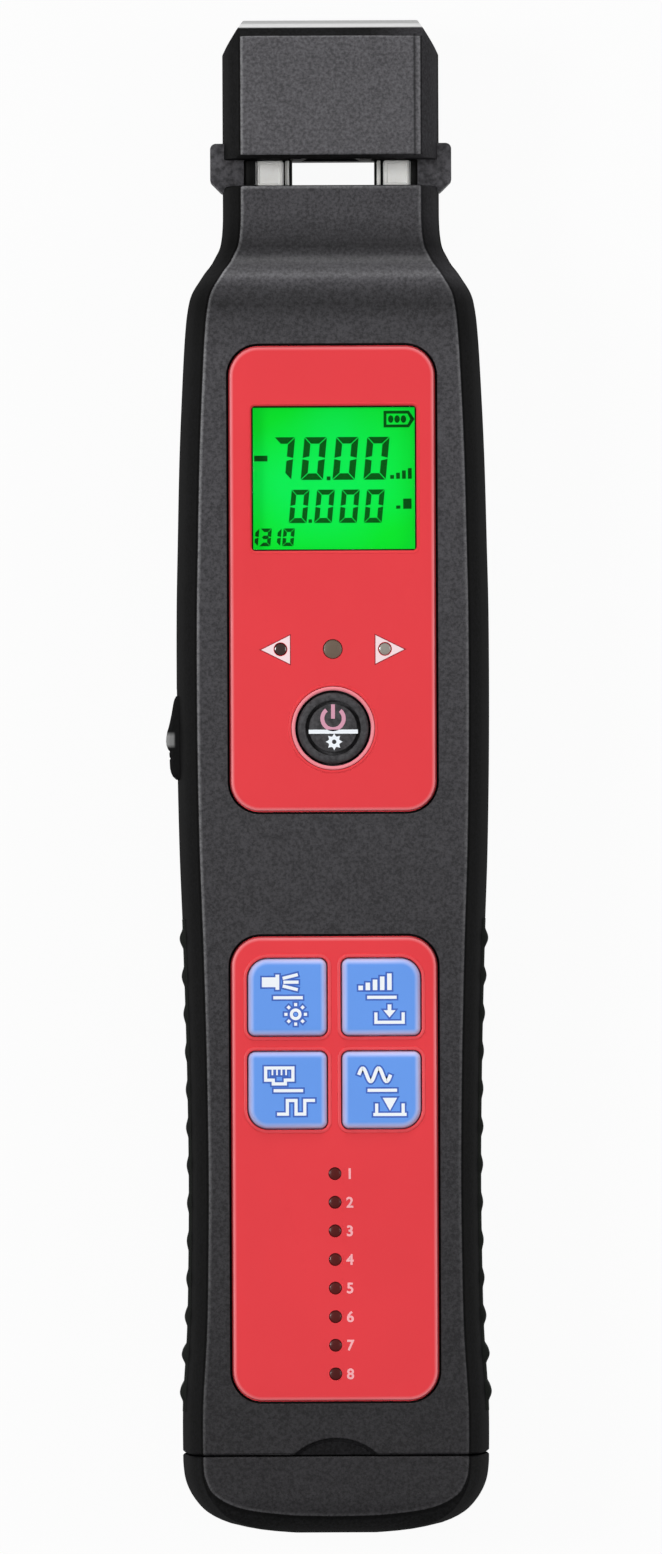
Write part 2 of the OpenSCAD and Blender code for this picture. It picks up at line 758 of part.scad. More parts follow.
module head_block() {
    color([0.34, 0.34, 0.35]) difference() {
        union() {
            difference() {
                intersection() {
                    head_shape();
                    span([-body_w, body_w], [y_slot, y_top], [head_part_z, body_d]);
                }
                head_space();
            }
            both_sides() post(head_post_r[0], head_screw_x, head_screw_y, [head_part_z, head_front - wall]);
        }
        ear_pocket();
        anvil_window();
        both_sides() post(screw_grip, head_screw_x, head_screw_y,
            [head_part_z - over, head_part_z + head_bite + hole_end]);
    }
}
module head_cover() {
    color([0.11, 0.11, 0.115]) difference() {
        union() {
            difference() {
                intersection() {
                    head_shape();
                    span([-body_w, body_w], [y_slot, y_top], [0, head_part_z]);
                }
                head_space();
            }
            intersection() {
                head_shape();
                union() {
                    both_sides() post(head_post_r[1], head_screw_x, head_screw_y, [0, head_part_z]);
                    both_sides() span([rod_x - boss_half, rod_x + boss_half],
                        [y_slot + wall, tie_y[1] + boss_end[1]],
                        [back_z(y_top), tie_z + tie_r + boss_cover[1]]);
                }
            }
        }
        ear_pocket();
        anvil_window();
        both_sides() along_y(tie_r + seat, rod_x, [y_slot - over, tie_y[1]], tie_z);
        along_y(lead_r + slide, -lead_x, [y_slot - over, y_slot + neck_wall + over], lead_z);
        both_sides() post(screw_hole, head_screw_x, head_screw_y, [0, head_part_z + over]);
        both_sides() post(screw_head_r + slide, head_screw_x, head_screw_y,
            [-over, back_z(y_top) + screw_sink]);
    }
}
module ear() {
    x = ears_w * half;
    color([0.29, 0.29, 0.3]) sheet([[ear_x, ear_y[0]], [x - ear_cut, ear_y[0]], [x, ear_y[0] + ear_cut],
        [x, ear_y[1] - ear_r], [x - ear_r, ear_y[1]], [ear_x, ear_y[1]]], ear_z);
}
module left_ear() { mirror([1, 0, 0]) ear(); }
module right_ear() { ear(); }
module guide_posts() {
    color([0.08, 0.08, 0.08]) both_sides() span([post_x, ear_x], slot_y,
        [lead_z + lead_r + slide, ledge_z - post_step]);
}
module fibre_pads() {
    color([0.84, 0.84, 0.82]) both_sides() {
        span([pad_x, post_x], slot_y, [tie_z + tie_r + tie_gap, ledge_z - pad_step]);
        span([pad_x - strip_w, pad_x], slot_y, [tie_z + tie_r + tie_gap, ledge_z - strip_step]);
    }
}
module tie_rods() {
    color([0.75, 0.75, 0.77]) both_sides() along_y(tie_r, rod_x, tie_y, tie_z);
}
module anvil() {
    x = anvil_w * half;
    color([0.2, 0.2, 0.21]) difference() {
        span([-x, x], [y_slot, y_slot + anvil_len], nose_z);
        post(nose_tip_r, 0, y_slot + anvil_dip - nose_tip_r, [0, body_d]);
    }
}
module photodiodes() {
    y = [y_slot + anvil_len, y_slot + anvil_len + diode_len];
    color([0.8, 0.7, 0.4]) both_sides() along_y(diode_r, diode_x, y, (nose_z[0] + nose_z[1]) * half);
}
module detector_lead() {
    y0 = y_slot + anvil_len + diode_len;
    y1 = y0 + lead_gap;
    y2 = board_y[1] + lead_bend;
    z0 = (nose_z[0] + nose_z[1]) * half;
    z1 = board_z + board_t * half;
    path = [[-diode_x, y0, z0], [-diode_x, y1, z0], [-lead_x, y1, lead_z], [-lead_x, y2, lead_z],
        [-lead_x, y2, z1], [-lead_x, board_y[1], z1]];
    color([0.15, 0.15, 0.15]) for (i = [0 : len(path) - 2]) {
        v = path[i + 1] - path[i];
        turn = acos(v[2] / norm(v));
        translate(path[i]) rotate([0, turn, atan2(v[1], v[0])]) cylinder(r = lead_r, h = norm(v), $fn = 16);
        if (i > 0) translate(path[i]) sphere(r = lead_r, $fn = 16);
    }
}

module upper_faceplate() {
    color([0.89, 0.2, 0.23]) difference() {
        plate_sheet(upper_mid, upper_len, 0, [recess_z, plate_top]);
        span([-lcd_w * half, lcd_w * half], [lcd_y - lcd_len * half, lcd_y + lcd_len * half],
            [recess_z - over, face_z + over]);
        front_holes([recess_z - over, face_z + over]);
    }
}
module lower_faceplate() {
    color([0.89, 0.2, 0.23]) difference() {
        plate_sheet(lower_mid, lower_len, 0, [recess_z, plate_top]);
        front_holes([recess_z - over, face_z + over]);
    }
}
module lcd_window() {
    x = lcd_w * half - seat;
    y = lcd_len * half - seat;
    color([0.6, 0.95, 0.7, 0.5]) span([-x, x], [lcd_y - y, lcd_y + y], [recess_z, plate_top - seat]);
}
module lcd_glass() {
    x = lcd_w * half + glass_rim;
    y = lcd_len * half + glass_end;
    color([0.05, 0.93, 0.32]) span([-x, x], [lcd_y - y, lcd_y + y], glass_z);
}
module lcd_backlight() {
    x = lcd_w * half + glass_rim;
    y = lcd_len * half;
    color([0.9, 0.95, 0.9]) span([-x, x], [lcd_y - y, lcd_y + y], light_z);
}
pin_w = 0.5;
pin_pitch = 2.2;
module lcd_pins() {
    y = lcd_len * half + glass_end * half;
    color([0.8, 0.75, 0.5]) for (i = [-4 : 4], e = [-y, y])
        span([i * pin_pitch - pin_w * half, i * pin_pitch + pin_w * half],
            [lcd_y + e - pin_w * half, lcd_y + e + pin_w * half], [board_top, glass_z[0]]);
}
module main_board() {
    through = [board_z - over, board_top + over];
    color([0.1, 0.35, 0.2]) difference() {
        span([-board_w * half, board_w * half], board_y, [board_z, board_top]);
        both_sides() post(column_r + slide, column_xy[0][0], column_xy[0][1], through);
        both_sides() for (c = board_screw_xy) post(screw_hole, c[0], c[1], through);
    }
}
module lamp_board() {
    color([0.1, 0.35, 0.2]) span([-lamp_board_w * half, lamp_board_w * half], lamp_board_y, lamp_board_z);
}
// Header between the boards: pitch of its contacts, distance from the board's end and length
header_pitch = 2.54;
header_in = 1.5;
header_len = 5.1;
module board_header() {
    color([0.08, 0.08, 0.08]) span([-header_pitch, header_pitch],
        [board_y[0] + header_in, board_y[0] + header_in + header_len], [board_top, lamp_board_z[0]]);
}
// Half width and height of a lamp's base
base_half = 1.4;
base_h = 1;
module lamp(r, x, y, z) {
    span([x - base_half, x + base_half], [y - base_half, y + base_half], [z, z + base_h]);
    post(r, x, y, [z + base_h, plate_top - seat]);
}
module direction_lamps() {
    color([0.95, 0.8, 0.82]) both_sides() lamp(direction_r, direction_x, direction_y, board_top);
}
module signal_lamp() {
    color([0.75, 0.7, 0.72]) lamp(signal_r, 0, direction_y, board_top);
}
module wire_map_lamps() {
    color([0.95, 0.75, 0.78]) for (i = [0 : lamp_count - 1])
        lamp(lamp_r, 0, lamp_y0 - i * lamp_pitch, lamp_board_z[1]);
}
module power_key_rim() {
    color([0.2, 0.19, 0.2]) difference() {
        post(rim_r, 0, power_y, [roof_z, face_z]);
        post(rim_r - rim_w, 0, power_y, [roof_z - over, face_z + over]);
    }
}
// Half width of a switch and thickness of its floor
switch_half = 3;
switch_floor = 1.2;
module switches() {
    spots = concat([[0, power_y]], [for (x = key_xs, y = key_ys) [x, y]]);
    color([0.15, 0.15, 0.16]) for (c = spots) difference() {
        span([c[0] - switch_half, c[0] + switch_half], [c[1] - switch_half, c[1] + switch_half],
            [board_top, switch_top]);
        post(stem_hole_r, c[0], c[1], [board_top + switch_floor, switch_top + over]);
    }
}
// Radius and height of the buzzer, its place across, and its distance above the tub's upper screws
buzzer_r = 4.5;
buzzer_h = 3;
buzzer_x = 9.5;
buzzer_up = 7.95;
module buzzer() {
    z = [board_top, board_top + buzzer_h];
    color([0.1, 0.1, 0.1]) post(buzzer_r, buzzer_x, board_screw_xy[1][1] + buzzer_up, z);
}
// How far a key's stem stands in its switch, and the power key above the face
stem_in = 0.4;
power_rise = 0.25;
collar_z = [roof_z - roof_gap - collar_t, roof_z - roof_gap];
module key_foot(x, y, top) {
    post(stem_r, x, y, [switch_top - stem_in, top]);
}
module power_key() {
    color([0.16, 0.16, 0.17]) union() {
        post(power_r, 0, power_y, [collar_z[0], face_z + power_rise]);
        post(rim_r + collar, 0, power_y, collar_z);
        key_foot(0, power_y, collar_z[0] + collar_t * half);
    }
}
module blue_key(i, j) {
    color([0.42, 0.62, 0.93]) union() {
        sheet(key_outline(i, j, 0), [collar_z[0], plate_top + key_rise]);
        sheet(key_outline(i, j, collar), collar_z);
        key_foot(key_xs[i], key_ys[j], collar_z[0] + collar_t * half);
    }
}
module key_top_left() { blue_key(0, 0); }
module key_top_right() { blue_key(1, 0); }
module key_bottom_left() { blue_key(0, 1); }
module key_bottom_right() { blue_key(1, 1); }

module battery_box() {
    x = tub_w * half;
    color([0.16, 0.16, 0.17]) difference() {
        union() {
            span([-x, x], tub_y, tub_z);
            span([-x - tub_flange, x + tub_flange], [tub_y[0] - tub_flange, tub_y[1] + tub_flange],
                [frame_top + seat, frame_top + seat + tub_flange_t]);
            both_sides() for (i = [1, 2]) post(board_post_r, board_screw_xy[i][0], board_screw_xy[i][1],
                [tub_z[1] - tub_wall, board_z]);
        }
        span([-x + tub_wall, x - tub_wall], [tub_y[0] + tub_wall, tub_y[1] - tub_wall],
            [tub_z[0] - over, tub_z[1] - tub_wall]);
        both_sides() for (i = [1, 2]) post(screw_grip, board_screw_xy[i][0], board_screw_xy[i][1],
            [tub_z[1] - seat, board_z + over]);
    }
}
// Length and radius of a cell's contact stud, inset of a contact, and coil and wire of its spring
stud_len = 1;
stud_r = 1.9;
contact_in = 1;
contact_coil_r = 2.6;
contact_wire = 0.3;
contact_turns = 3;
module cell(x, flip) {
    ends = [cell_y[0], cell_y[1]];
    body = flip ? [ends[0] + stud_len, ends[1]] : [ends[0], ends[1] - stud_len];
    stud = flip ? [ends[0], ends[0] + stud_len] : [ends[1] - stud_len, ends[1]];
    along_y(cell_r, x, body, cell_z);
    along_y(stud_r, x, stud, cell_z);
}
module battery_cells() {
    shift = spring_len * half;
    color([0.7, 0.7, 0.25]) {
        translate([0, shift, 0]) cell(-cell_x, false);
        translate([0, -shift, 0]) cell(cell_x, true);
    }
}
module battery_contacts() {
    y0 = tub_y[0] + tub_wall;
    y1 = tub_y[1] - tub_wall;
    color([0.8, 0.8, 0.82]) for (x = [-cell_x, cell_x], y = [y0, y1 - contact_t])
        span([x - cell_r + contact_in, x + cell_r - contact_in], [y, y + contact_t],
            [cell_z - cell_r + contact_in, cell_z + cell_r - contact_in]);
}
module battery_springs() {
    y0 = tub_y[0] + tub_wall + contact_t;
    y1 = tub_y[1] - tub_wall - contact_t;
    color([0.8, 0.8, 0.82]) {
        coil(-cell_x, [y0, y0 + spring_len + cell_gap], cell_z, contact_coil_r, contact_wire, contact_turns);
        coil(cell_x, [y1 - spring_len - cell_gap, y1], cell_z, contact_coil_r, contact_wire, contact_turns);
    }
}
// Width of the door's lips on the door, and their distance from its lower end
lip_foot = 1.4;
lip_end = 0.5;
// Finger grooves in the door: half width, distance from its lower end, pitch, width and depth
groove_half = 8;
groove_y = 6;
groove_pitch = 2;
groove_w = 1;
groove_d = 0.6;
groove_count = 6;
module battery_door() {
    x = door_w * half;
    color([0.12, 0.12, 0.125]) difference() {
        union() {
            span([-x, x], door_y, [door_lift, lip_z[0]]);
            both_sides() span([x - lip_foot, x + lip_w], [door_y[0] + lip_end, door_y[1]], lip_z);
        }
        for (i = [0 : groove_count - 1]) {
            y = door_y[0] + groove_y + i * groove_pitch;
            span([-groove_half, groove_half], [y, y + groove_w], [door_lift - over, door_lift + groove_d]);
        }
    }
}

module port_plate() {
    y = port_plate_y;
    color([0.1, 0.1, 0.105]) difference() {
        intersection() {
            slab_y(mirrored(hollow_half(y_cap, seat)), y);
            span([-body_w, body_w], y, [sill_z + seat, face_z]);
        }
        span([-jack_w * half - seat, jack_w * half + seat], [y[0] - over, y[1] + over],
            [jack_z[0] - seat, jack_z[1] + seat]);
        along_y(meter_r + seat, -port_x, [y[0] - over, y[1] + over], meter_z);
        along_y(laser_r + seat, port_x, [y[0] - over, y[1] + over], laser_z);
        along_y(torch_r + seat, port_x, [y[0] - over, y[1] + over], torch_z);
    }
}
module adapter(x, z, r, nose_r, nose) {
    y = [port_plate_y[0] - nose, port_plate_y[0] - nose + ferrule_len];
    difference() {
        union() {
            along_y(nose_r, x, y, z);
            along_y(r, x, [port_plate_y[0] + seat, y[1]], z);
        }
        along_y(ferrule_r, x, [y[0] - over, y[1] + over], z);
    }
}
// Reach of the adapters' noses past the port plate, and their steps to the body
meter_nose = 3;
laser_nose = 3.4;
meter_step = 0.6;
laser_step = 0.8;
// Step and length of what sits behind an adapter
back_step = 0.5;
meter_back_len = 4;
laser_back_len = 11;
module power_meter_adapter() {
    color([0.75, 0.76, 0.78]) adapter(-port_x, meter_z, meter_r, meter_r - meter_step, meter_nose);
}
module power_meter_detector() {
    y = port_plate_y[0] - meter_nose + ferrule_len;
    color([0.8, 0.7, 0.4]) along_y(meter_r - back_step, -port_x, [y, y + meter_back_len], meter_z);
}
module visible_laser_adapter() {
    color([0.75, 0.76, 0.78]) adapter(port_x, laser_z, laser_r, laser_r - laser_step, laser_nose);
}
module visible_laser() {
    y = port_plate_y[0] - laser_nose + ferrule_len;
    color([0.72, 0.6, 0.35]) along_y(laser_r - back_step, port_x, [y, y + laser_back_len], laser_z);
}
socket_w = 11.8;
socket_h = 7;
socket_len = 12;
socket_floor = 2.6;
// Groove of the plug's latch: half width, lowest and highest edge above the jack's base
latch_half = 3.1;
latch_z = [1.2, 3];
// Jack contacts: pitch, half width, length and depth
jack_poles = 8;
pole_pitch = 1.02;
pole_half = 0.2;
pole_len = 6;
pole_d = 0.9;
// Torch lamp: how far it stands out and back
torch_out = 0.5;
torch_back = 6;
module modular_jack() {
    x = jack_w * half;
    y = [port_plate_y[0] + seat, port_plate_y[0] + seat + jack_len];
    color([0.12, 0.12, 0.13]) difference() {
        span([-x, x], y, jack_z);
        span([-socket_w * half, socket_w * half], [y[0] - over, y[0] + socket_len],
            [jack_z[0] + socket_floor, jack_z[0] + socket_floor + socket_h]);
        span([-latch_half, latch_half], [y[0] - over, y[0] + socket_len * half],
            [jack_z[0] + latch_z[0], jack_z[0] + latch_z[1]]);
    }
}
module jack_contacts() {
    y = port_plate_y[0] + socket_len;
    z = jack_z[0] + socket_floor + socket_h;
    color([0.85, 0.7, 0.3]) for (i = [0 : jack_poles - 1]) {
        x = (i - (jack_poles - 1) * half) * pole_pitch;
        span([x - pole_half, x + pole_half], [y - pole_len, y], [z - pole_d, z]);
    }
}
module torch_lamp() {
    y = port_plate_y[0];
    color([0.95, 0.95, 1]) union() {
        along_y(torch_r, port_x, [y - torch_out, y + torch_back], torch_z);
        translate([port_x, y - torch_out, torch_z]) sphere(r = torch_r);
    }
}
module cover_hinge_pin() {
    x = knuckle_x + knuckle_gap + knuckle_len;
    color([0.75, 0.75, 0.77]) along_x(pin_r, [-x, x], hinge_y, hinge_z);
}
module end_cover() {
    x = [knuckle_x, knuckle_x + knuckle_len + 2 * knuckle_gap];
    ys = concat([y_cap + over], [for (s = ring_shares) if (s * y_top < y_cap && s * y_top > y_end + wall)
        s * y_top], [y_end + wall]);
    color([0.25, 0.25, 0.26]) difference() {
        union() {
            difference() {
                intersection() {
                    body_skin();
                    span([-body_w, body_w], [y_end, y_cap - cap_gap], [0, face_z + over]);
                }
                loft([for (y = ys) lift(mirrored(hollow_half(y)), y)]);
                span([-body_w, body_w], [hinge_y, y_cap], [-over, hinge_z]);
            }
            along_x(knuckle_r, [-knuckle_x, knuckle_x], hinge_y, hinge_z);
        }
        both_sides() along_x(knuckle_r + knuckle_gap, x, hinge_y, hinge_z);
        both_sides() span(x, [hinge_y - knuckle_r - knuckle_gap, y_cap + over], [-over, hinge_z]);
        both_sides() span(x, [hinge_y, y_cap + over], [-over, sill_z + knuckle_gap]);
        along_x(pin_r + run, [-body_w, body_w], hinge_y, hinge_z);
    }
}

module screw(x, y, z, len) {
    post(screw_head_r, x, y, [z, z + screw_head_t]);
    post(screw_r, x, y, [z + screw_head_t, z + screw_head_t + len]);
}
module case_screws() {
    color([0.7, 0.7, 0.72]) both_sides() for (i = [0, 1])
        screw(column_xy[i][0], column_xy[i][1], screw_depth[i] - screw_head_t,
            part_z - screw_depth[i] + case_bite);
}
module head_screws() {
    z = back_z(y_top) + screw_sink;
    color([0.7, 0.7, 0.72]) both_sides()
        screw(head_screw_x, head_screw_y, z - screw_head_t, head_part_z - z + head_bite);
}
module board_screws() {
    color([0.7, 0.7, 0.72]) both_sides() for (c = board_screw_xy) translate([c[0], c[1], board_top])
        mirror([0, 0, 1]) screw(0, 0, -screw_head_t, board_t + board_bite);
}
module grip() {
    color([0.1, 0.105, 0.1]) grip_strip(0);
}
module left_grip() { mirror([1, 0, 0]) grip(); }
module right_grip() { grip(); }

module plunger_guide() {
    x = guide_w * half;
    inner = nose_w * half + slide;
    color([0.6, 0.6, 0.62]) difference() {
        span([-x, x], guide_y, guide_z);
        span([-inner, inner], [guide_y[0] + guide_plate_t, guide_y[1] + over],
            [nose_z[0] - slide, nose_z[1] + slide]);
        along_y(rod_r + run, 0, [guide_y[0] - over, guide_y[1]], rod_z);
    }
}
module plunger() {
    x = nose_w * half;
    color([0.75, 0.76, 0.78]) union() {
        intersection() {
            span([-x, x], nose_y, nose_z);
            post(nose_tip_r, 0, nose_y[1] - nose_tip_r, [0, body_d]);
        }
        along_y(rod_r, 0, [rod_y[0], nose_y[0] + over], rod_z);
        along_y(flange_r, 0, flange_y, rod_z);
    }
}
module slide_plate() {
    reach = -body_w * half + wall + shank_in;
    tab = [pad_mid - shank_len * half, pad_mid + shank_len * half];
    color([0.7, 0.7, 0.72]) sheet([[reach, tab[0]], [lane[1], tab[0]], [lane[1], rod_y[0] - foot_len],
        [foot_x, rod_y[0] - foot_len], [foot_x, rod_y[0]], [lane[0], rod_y[0]], [lane[0], tab[1]],
        [reach, tab[1]]],
        [rod_z - sheet_t * half, rod_z + sheet_t * half]);
}
pad_shares = [
    [0, 0], [0.07, 0.5], [0.12, 0.62], [0.22, 0.65], [0.24, 0.3], [0.27, 0.65], [0.32, 0.7],
    [0.35, 0.35], [0.38, 1], [0.56, 1], [0.6, 0.8], [0.93, 0.3], [1, 0]
];
module thumb_slider() {
    x = -body_w * half - pad_clear;
    inner = -body_w * half + wall + shank_in;
    color([0.13, 0.13, 0.135]) union() {
        sheet(concat([[x, pad_y[0]]],
            [for (s = pad_shares) [x - pad_edge - pad_out * s[1], pad_y[0] + pad_len * s[0]]],
            [[x, pad_y[1]]]), [part_z - pad_d * half, part_z + pad_d * half]);
        span([x - pad_edge * half, inner],
            [pad_mid - shank_len * half, pad_mid + shank_len * half], shank_z);
    }
}
module return_spring() {
    color([0.8, 0.8, 0.82])
        coil(0, [flange_y[1], guide_y[0]], rod_z, rod_r + spring_gap, spring_wire, spring_turns);
}

front_shell();
rear_shell();
head_block();
head_cover();
left_ear();
right_ear();
guide_posts();
fibre_pads();
tie_rods();
anvil();
photodiodes();
detector_lead();
upper_faceplate();
lower_faceplate();
lcd_window();
lcd_glass();
lcd_backlight();
lcd_pins();
main_board();
lamp_board();
board_header();
direction_lamps();
signal_lamp();
wire_map_lamps();
power_key_rim();
switches();
buzzer();
battery_box();
battery_cells();
battery_contacts();
battery_springs();
port_plate();
power_meter_adapter();
power_meter_detector();
visible_laser_adapter();
visible_laser();
modular_jack();
jack_contacts();
torch_lamp();
cover_hinge_pin();
case_screws();
board_screws();
head_screws();
left_grip();
right_grip();
plunger_guide();
power_key();
key_top_left();
key_top_right();
key_bottom_left();
key_bottom_right();
thumb_slider();
slide_plate();
plunger();
return_spring();
battery_door();
end_cover();
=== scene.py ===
import bisect
import math

import bpy
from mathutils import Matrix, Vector


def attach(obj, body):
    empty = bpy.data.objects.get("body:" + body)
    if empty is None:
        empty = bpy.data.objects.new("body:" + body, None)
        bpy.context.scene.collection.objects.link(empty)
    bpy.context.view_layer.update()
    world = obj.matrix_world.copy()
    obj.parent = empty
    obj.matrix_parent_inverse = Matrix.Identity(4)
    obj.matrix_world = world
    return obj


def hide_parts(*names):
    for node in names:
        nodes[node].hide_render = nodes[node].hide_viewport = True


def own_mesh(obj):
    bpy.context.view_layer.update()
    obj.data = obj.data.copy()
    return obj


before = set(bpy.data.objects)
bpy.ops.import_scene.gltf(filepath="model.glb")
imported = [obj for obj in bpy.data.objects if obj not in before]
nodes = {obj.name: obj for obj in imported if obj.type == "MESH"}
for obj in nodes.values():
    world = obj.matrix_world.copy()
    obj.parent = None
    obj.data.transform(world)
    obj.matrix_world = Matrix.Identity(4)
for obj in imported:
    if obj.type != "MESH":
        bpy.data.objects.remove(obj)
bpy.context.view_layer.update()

scene = bpy.context.scene
MM = 0.001

# Sizes in mm, as in the frame: X across the body, Y along it, Z up from its flat back
Y_TOP, Y_SLOT, Y_NECK, Y_CAP, Y_END = 100.0, 81.9, 78.3, -89.55, -100.0
BODY_W, NECK_W, EARS_W, FACE_Z, PART_Z = 41.3, 28.7, 32.0, 29.0, 14.0
# Wall of the sides and back, of the face, and at the neck's end
WALL, FACE_WALL, NECK_WALL = 1.8, 2.4, 3.2
# Dark slope beside the face on body and neck, radius at the back, face's edge, ends' chamfer
BAND, NECK_BAND, BACK_R, EDGE, CHAMFER = 2.45, 2.1, 6.0, 0.45, 0.22
# Size of the side's outline in the photo, where it lies further away than the face
SIDE_SHARE = 0.9965
# Gaps: of a piece that sits still, of one that slides, and on each side of a parting line
SEAT, SLIDE, SEAM = 0.05, 0.2, 0.04
# Reach of the painted edge highlight, its start at the neck's end, and the value in the thumb notch that
# paints shade there
RIM_MAX, NECK_EDGE, NOTCH_SHADE = 0.6, 0.2, -0.12
NOTCH_W, NOTCH_LEN, NOTCH_D = 11.2, 2.2, 0.8
# Faceplates: floor of their recess, their top, inner side of the face, outline and gap
RECESS_Z, PLATE_TOP, ROOF_Z = 27.9, 28.9, 26.6
PLATE_W, PLATE_R, PLATE_SLOT, PLATE_IN = 27.3, 4.0, 0.3, 0.08
UPPER_Y, LOWER_Y = (-4.6, 57.0), (-82.5, -21.05)
LCD_X, LCD_Y, LCD_W, LCD_LEN, LCD_R = 0.25, 39.48, 21.8, 19.15, 0.5
DIRECTION_Y, DIRECTION_X, DIRECTION_R, SIGNAL_R = 16.9, 6.9, 0.8, 1.25
# Column of small lamps, and the heights where the lamps stand on their boards
LAMP_Y0, LAMP_PITCH, LAMP_COUNT, LAMP_R = -52.42, 3.78, 8, 0.8
UPPER_LAMP_Z, MAP_LAMP_Z, LAMP_FOOT = 18.6, 22.8, 2.8
# Power key with its rim, and the groove in its top as radius and depth
POWER_Y, POWER_R, RIM_R, RIM_W = 6.45, 4.68, 5.5, 0.5
POWER_GROOVE = ((3.72, 0.04), (3.65, 0.12), (3.63, 1.0), (3.19, 1.0), (3.17, 0.12), (3.1, 0.04))
# Blue keys: the corner that points away from the others has the large radius
KEY_W, KEY_LEN, KEY_BIG, KEY_SMALL, KEY_GAP, KEY_TOP = 10.3, 10.1, 2.6, 0.9, 0.18, 29.7
KEY_XS, KEY_YS = (-6.2, 6.2), (-29.08, -41.36)
# Collar and stem that hold a key from below
COLLAR, COLLAR_Z, STEM_R, STEM_Z = 0.6, (25.5, 26.5), 1.6, 21.6
# Prints: thickness, and height above a key and above a faceplate
PRINT, MARK_LIFT, PLATE_MARK_LIFT = 0.06, 0.03, 0.02
# End cover: hinge, knuckles, gap and the sill of the rear shell under it
HINGE_Y, HINGE_Z, PIN_R = -92.6, 8.0, 0.8
KNUCKLE_R, KNUCKLE_X, KNUCKLE_LEN, KNUCKLE_GAP = 2.2, 7.0, 4.0, 0.3
CAP_GAP, SILL_Z, SILL_Y = 0.25, 9.2, (-89.85, -85.85)
# Lip at the seam: how far it stands out, its gap and its thickness
SEAM_LIP_OUT, SEAM_LIP_CLEAR, SEAM_LIP_T = 0.7, 0.15, 0.8
# Battery door with its side lips, and the frame and battery box behind it
DOOR_W, DOOR_Y, DOOR_LIFT, DOOR_GAP = 28.0, (-75.0, -9.0), 0.3, 0.2
DOOR_LIP_W, DOOR_LIP_Z = 1.2, (2.1, 3.3)
FRAME_TOP, TUB_W, TUB_Y = 5.1, 23.8, (-61.9, -10.2)
# Head: parting line, front, back, and how far its tip stands past the frame's end
HEAD_PART_Z, HEAD_FRONT, BACK_TOP, HEAD_TIP = 12.0, 0.903 * FACE_Z, 0.103 * FACE_Z, 0.22
EAR_X, EAR_Y, EAR_Z = 11.5, (77.6, 84.1), (6.0, 17.0)
# Room of the plunger's nose, tie rods, and the detectors' lead
NOSE_W, NOSE_Z = 10.0, (9.5, 21.5)
TIE_R, TIE_Y, ROD_X = 1.2, (70.3, 89.9), 8.4
TIE_Z = BACK_TOP + WALL + TIE_R + 0.4
LEAD_X, LEAD_Z, LEAD_R = 10.9, TIE_Z + 1.4, 0.5
# Screws and their columns
COLUMNS, COLUMN_R, SCREW_DEPTH = ((14.9, 47.0), (9.5, -67.0)), 2.8, (2.4, 6.3)
THREAD_R, SCREW_HOLE, SCREW_HEAD_R = 1.0, 1.25, 1.9
HEAD_SCREW, BOARD_SCREWS, BOARD_Z = (9.6, 94.5), ((13.5, 57.5), (9.0, -15.0), (9.0, -55.0)), 17.0
# Grips: depth, ends, thickness, and each ridge's height from the upper end down
GRIP_Z, GRIP_END, GRIP_T, RIDGE_Y0, RIDGE_PITCH = (7.0, 20.0), 2.6, 1.2, -21.4, 5.0
RIDGES = (0.43, 0.34, 0.27, 0.22, 0.22, 0.28, 0.26, 0.24, 0.24, 0.26, 0.37, 0.54, 0.46)
# Thumb slider with its shank, and its travel
PAD_Y, PAD_OUT, PAD_D, SHANK_Z, SHANK_LEN = (-0.3, 10.8), 1.35, 10.0, (10.5, 16.5), 6.5
CLAMP_STROKE = 3.0

# Outlines as shares: along the body against half its width, and against its depth
SIDE = ((1, .6925), (.85, .6925), (.76, .6925), (.733, .6935), (.713, .701), (.699, .715), (.689, .74),
        (.678, .769), (.668, .808), (.657, .843), (.647, .875), (.636, .901), (.615, .923), (.583, .939),
        (.498, .962), (.419, .978), (.3, .992), (.22, 1), (.05, 1), (-.1, .987), (-.2, .969),
        (-.3, .954), (-.4, .943), (-.53, .936), (-.63, .94), (-.73, .951), (-.83, .98), (-.89, .981),
        (-.911, .978), (-.931, .962), (-.951, .917), (-.971, .833), (-.9827, .728), (-.9894, .607),
        (-.994, .482), (-.9987, .215), (-1, .05))
FRONT = ((1, .903), (.699, .903), (.689, .912), (.657, .99), (.636, 1), (-.951, 1), (-.971, .985),
         (-.985, .955), (-.994, .91), (-1, .83))
BACK = ((1, .103), (.689, .103), (.583, .045), (.498, .015), (.419, 0), (-.75, 0), (-.78, .015),
        (-.81, .04), (-.84, .08), (-.87, .125), (-.911, .185), (-.951, .22), (-.971, .25), (-.985, .29),
        (-.994, .34), (-1, .42))


# Curves of the body's outline
def monotone(table):
    """A smooth curve through the points of a table that never overshoots them."""
    pts = sorted(table)
    xs = [p[0] for p in pts]
    ys = [p[1] for p in pts]
    d = [(ys[i + 1] - ys[i]) / (xs[i + 1] - xs[i]) for i in range(len(xs) - 1)]
    m = [d[0]] + [0.0 if d[i - 1] * d[i] <= 0 else 2 * d[i - 1] * d[i] / (d[i - 1] + d[i])
                  for i in range(1, len(d))] + [d[-1]]

    def at(x):
        x = min(max(x, xs[0]), xs[-1])
        i = min(bisect.bisect_right(xs, x), len(xs) - 1) - 1
        h = xs[i + 1] - xs[i]
        t = (x - xs[i]) / h
        return ((1 + 2 * t) * (1 - t) ** 2 * ys[i] + t * (1 - t) ** 2 * h * m[i]
                + t * t * (3 - 2 * t) * ys[i + 1] + t * t * (t - 1) * h * m[i + 1])
    return at


def between(a, b, start, end, s):
    """Point for s on the line that is at a for the start and at b for the end."""
    return a * (end - s) / (end - start) + b * (s - start) / (end - start)


